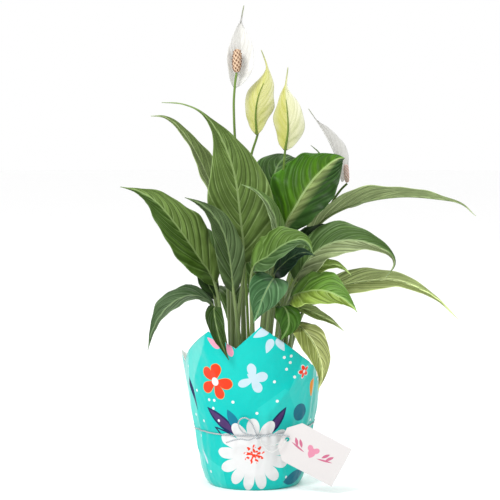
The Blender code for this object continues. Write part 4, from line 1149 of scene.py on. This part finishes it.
def addWrap():
    floorShare = wrap["floorShare"]

    def parts(u, v):
        # the first rows of the sheet are its base disc
        azimuth = -180 + 360 * u
        base = wrapRadius(azimuth, np.zeros_like(azimuth))
        onWall = v > floorShare
        climb = np.clip((v - floorShare) / (1 - floorShare), 0, 1)
        height = np.where(onWall, climb ** 1.1 * edgeHeight(azimuth), 0.0)
        radius = np.where(onWall, wrapRadius(azimuth, height), base * v / floorShare)
        return azimuth, radius, height

    def placeIt(u, v):
        return aroundPot(*parts(u, v))

    def unrolled(u, v):
        azimuth, radius, height = parts(u, v)
        return {"UVMap": (np.radians(azimuth) * wrap["printRadius"], height)}

    piece = addSheet("giftWrap", wrap["columns"], wrap["rows"], placeIt, closed=True, uv=unrolled)
    coverWith(piece, [None, None])
    applyModifier(piece, "SOLIDIFY", thickness=wrap["film"] * mm, offset=-1.0, use_even_offset=True,
                  material_offset=1, material_offset_rim=1)
    finishPiece(piece, ["gift_sleeve"], [printedFilm(), filmInside()])


addWrap()
print("wrap folded")


# pot, soil and tag

def mouldedPot():
    # black polypropylene from a mould: satin, faintly grained
    material, tree, shader = newMaterial("mouldedPolypropylene", {"Roughness": 0.5})
    spot = addNode(tree, "TexCoord")
    grain = addNode(tree, "TexNoise", {"Vector": spot.outputs["Object"], "Scale": 600.0})
    colour = addNode(tree, "Mix", {0: grain, 6: toLinear("#17181A"), 7: toLinear("#26282B")},
                     data_type="RGBA")
    tree.links.new(result(colour), shader.inputs["Base Color"])
    bump = addNode(tree, "Bump", {"Strength": 0.2, "Distance": 0.0002, "Height": grain})
    tree.links.new(bump.outputs[0], shader.inputs["Normal"])
    return material


def pottingMix():
    # moist peat with lighter crumbs, rough and dull
    material, tree, shader = newMaterial("moistPottingMix", {"Roughness": 0.95})
    spot = addNode(tree, "TexCoord")
    crumb = addNode(tree, "TexVoronoi", {"Vector": spot.outputs["Object"], "Scale": 420.0})
    cloud = addNode(tree, "TexNoise", {"Vector": spot.outputs["Object"], "Scale": 160.0, "Detail": 4.0})
    colour = addNode(tree, "Mix", {0: cloud, 6: toLinear("#1F150E"), 7: toLinear("#4A3524")},
                     data_type="RGBA")
    share = addNode(tree, "MapRange", {0: crumb, 1: 0.0, 2: 0.25, 3: 0.35, 4: 0.0})
    colour = addNode(tree, "Mix", {0: share, 6: colour, 7: toLinear("#7B6750")}, data_type="RGBA")
    tree.links.new(result(colour), shader.inputs["Base Color"])
    bump = addNode(tree, "Bump", {"Strength": 0.8, "Distance": 0.001, "Height": crumb})
    tree.links.new(bump.outputs[0], shader.inputs["Normal"])
    return material


# a lumpy top on the soil, its rim turned down over the edge of the solid below
soil = {"seed": 7, "waves": 24, "lift": 0.5, "lumps": 0.35, "skirt": 3.0, "flatShare": 0.9}


def addSoil():
    random.seed(soil["seed"])
    low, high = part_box("potting_soil")
    rim = (high[0] - low[0]) / 2 / mm
    top = high[2] / mm
    waves = [(random.uniform(0.05, 0.5), random.uniform(0, 6.3), random.uniform(0, 6.3))
             for _ in range(soil["waves"])]

    def placeIt(u, v):
        turn = 2 * math.pi * u
        radius = np.clip(v / soil["flatShare"], 0, 1) * rim
        x, y = radius * np.cos(turn), radius * np.sin(turn)
        lumps = sum(np.sin(x * f + a) * np.sin(y * f * 1.3 + b) / (1 + 2 * f) for f, a, b in waves)
        drop = soil["skirt"] * (v - soil["flatShare"]) / (1 - soil["flatShare"])
        lift = np.where(v > soil["flatShare"], -drop, soil["lift"] + soil["lumps"] * lumps)
        return np.stack([x, y, top + lift], axis=-1)

    piece = addSheet("soilSurface", 160, 60, placeIt, closed=True)
    bpy.ops.object.mode_set(mode="EDIT")
    bpy.ops.mesh.select_all(action="SELECT")
    bpy.ops.mesh.fill_holes(sides=0)
    bpy.ops.mesh.normals_make_consistent(inside=False)
    bpy.ops.object.mode_set(mode="OBJECT")
    mix = pottingMix()
    finishPiece(piece, [], [mix])
    coverNode("potting_soil", mix)


tag = {
    "centre": (62.0, -75.0, 46.5), "tilt": -28.0, "card": "#C3BFBE", "fibre": "#C8C4C3",
    "heart": "#C77C94", "sprig": "#B25A78",
    # kind, place on the card in mm, turn in degrees, half length, half width, ink
    "print": [("petal", 2.4, 2.0, 48, 5.4, 3.9, "heart"), ("petal", -2.4, 2.0, 132, 5.4, 3.9, "heart"),
              ("leaf", 0, -1.0, 90, 5.8, 4.0, "heart"),
              ("leaf", 16, -2, 12, 9, 1.0, "sprig"), ("leaf", 15, 3, 50, 5, 1.6, "sprig"),
              ("leaf", 20, 2.5, 50, 5, 1.6, "sprig"), ("leaf", -16, -2, 168, 9, 1.0, "sprig"),
              ("leaf", -15, 3, 130, 5, 1.6, "sprig"), ("leaf", -20, 2.5, 130, 5, 1.6, "sprig")],
}


def whiteCard():
    # uncoated white card, faint fibre, a small heart and two sprigs printed in pink on its front
    material, tree, shader = newMaterial("whiteGiftCard", {"Roughness": 0.7})
    spot = addNode(tree, "TexCoord")
    local = addNode(tree, "Mapping", {
        "Vector": spot.outputs["Object"], "Location": [v * mm for v in tag["centre"]],
        "Rotation": (0, math.radians(-tag["tilt"]), 0), "Scale": (mm, mm, mm)}, vector_type="TEXTURE")
    axes = addNode(tree, "SeparateXYZ", {0: local})
    place = addNode(tree, "CombineXYZ", {0: axes.outputs["X"], 1: axes.outputs["Z"]})
    front = addNode(tree, "Math", {0: axes.outputs["Y"], 1: 0.0}, operation="LESS_THAN")
    fibre = addNode(tree, "TexNoise", {"Vector": spot.outputs["Object"], "Scale": 900.0, "Detail": 3.0})
    colour = addNode(tree, "Mix", {0: fibre, 6: toLinear(tag["card"]), 7: toLinear(tag["fibre"])},
                     data_type="RGBA")
    for kind, x, y, turn, length, width, ink in tag["print"]:
        mask = drawMotif(tree, place, kind, x, y, turn, length, width)
        mask = addNode(tree, "Math", {0: mask, 1: front}, operation="MULTIPLY")
        colour = addNode(tree, "Mix", {0: mask, 6: colour, 7: toLinear(tag[ink])}, data_type="RGBA")
    tree.links.new(result(colour), shader.inputs["Base Color"])
    bump = addNode(tree, "Bump", {"Strength": 0.15, "Distance": 0.0001, "Height": fibre})
    tree.links.new(bump.outputs[0], shader.inputs["Normal"])
    return material


addSoil()
coverNode("nursery_pot", mouldedPot())
coverNode("gift_tag", whiteCard())
print("pot filled and tag tied")

clearSelection()
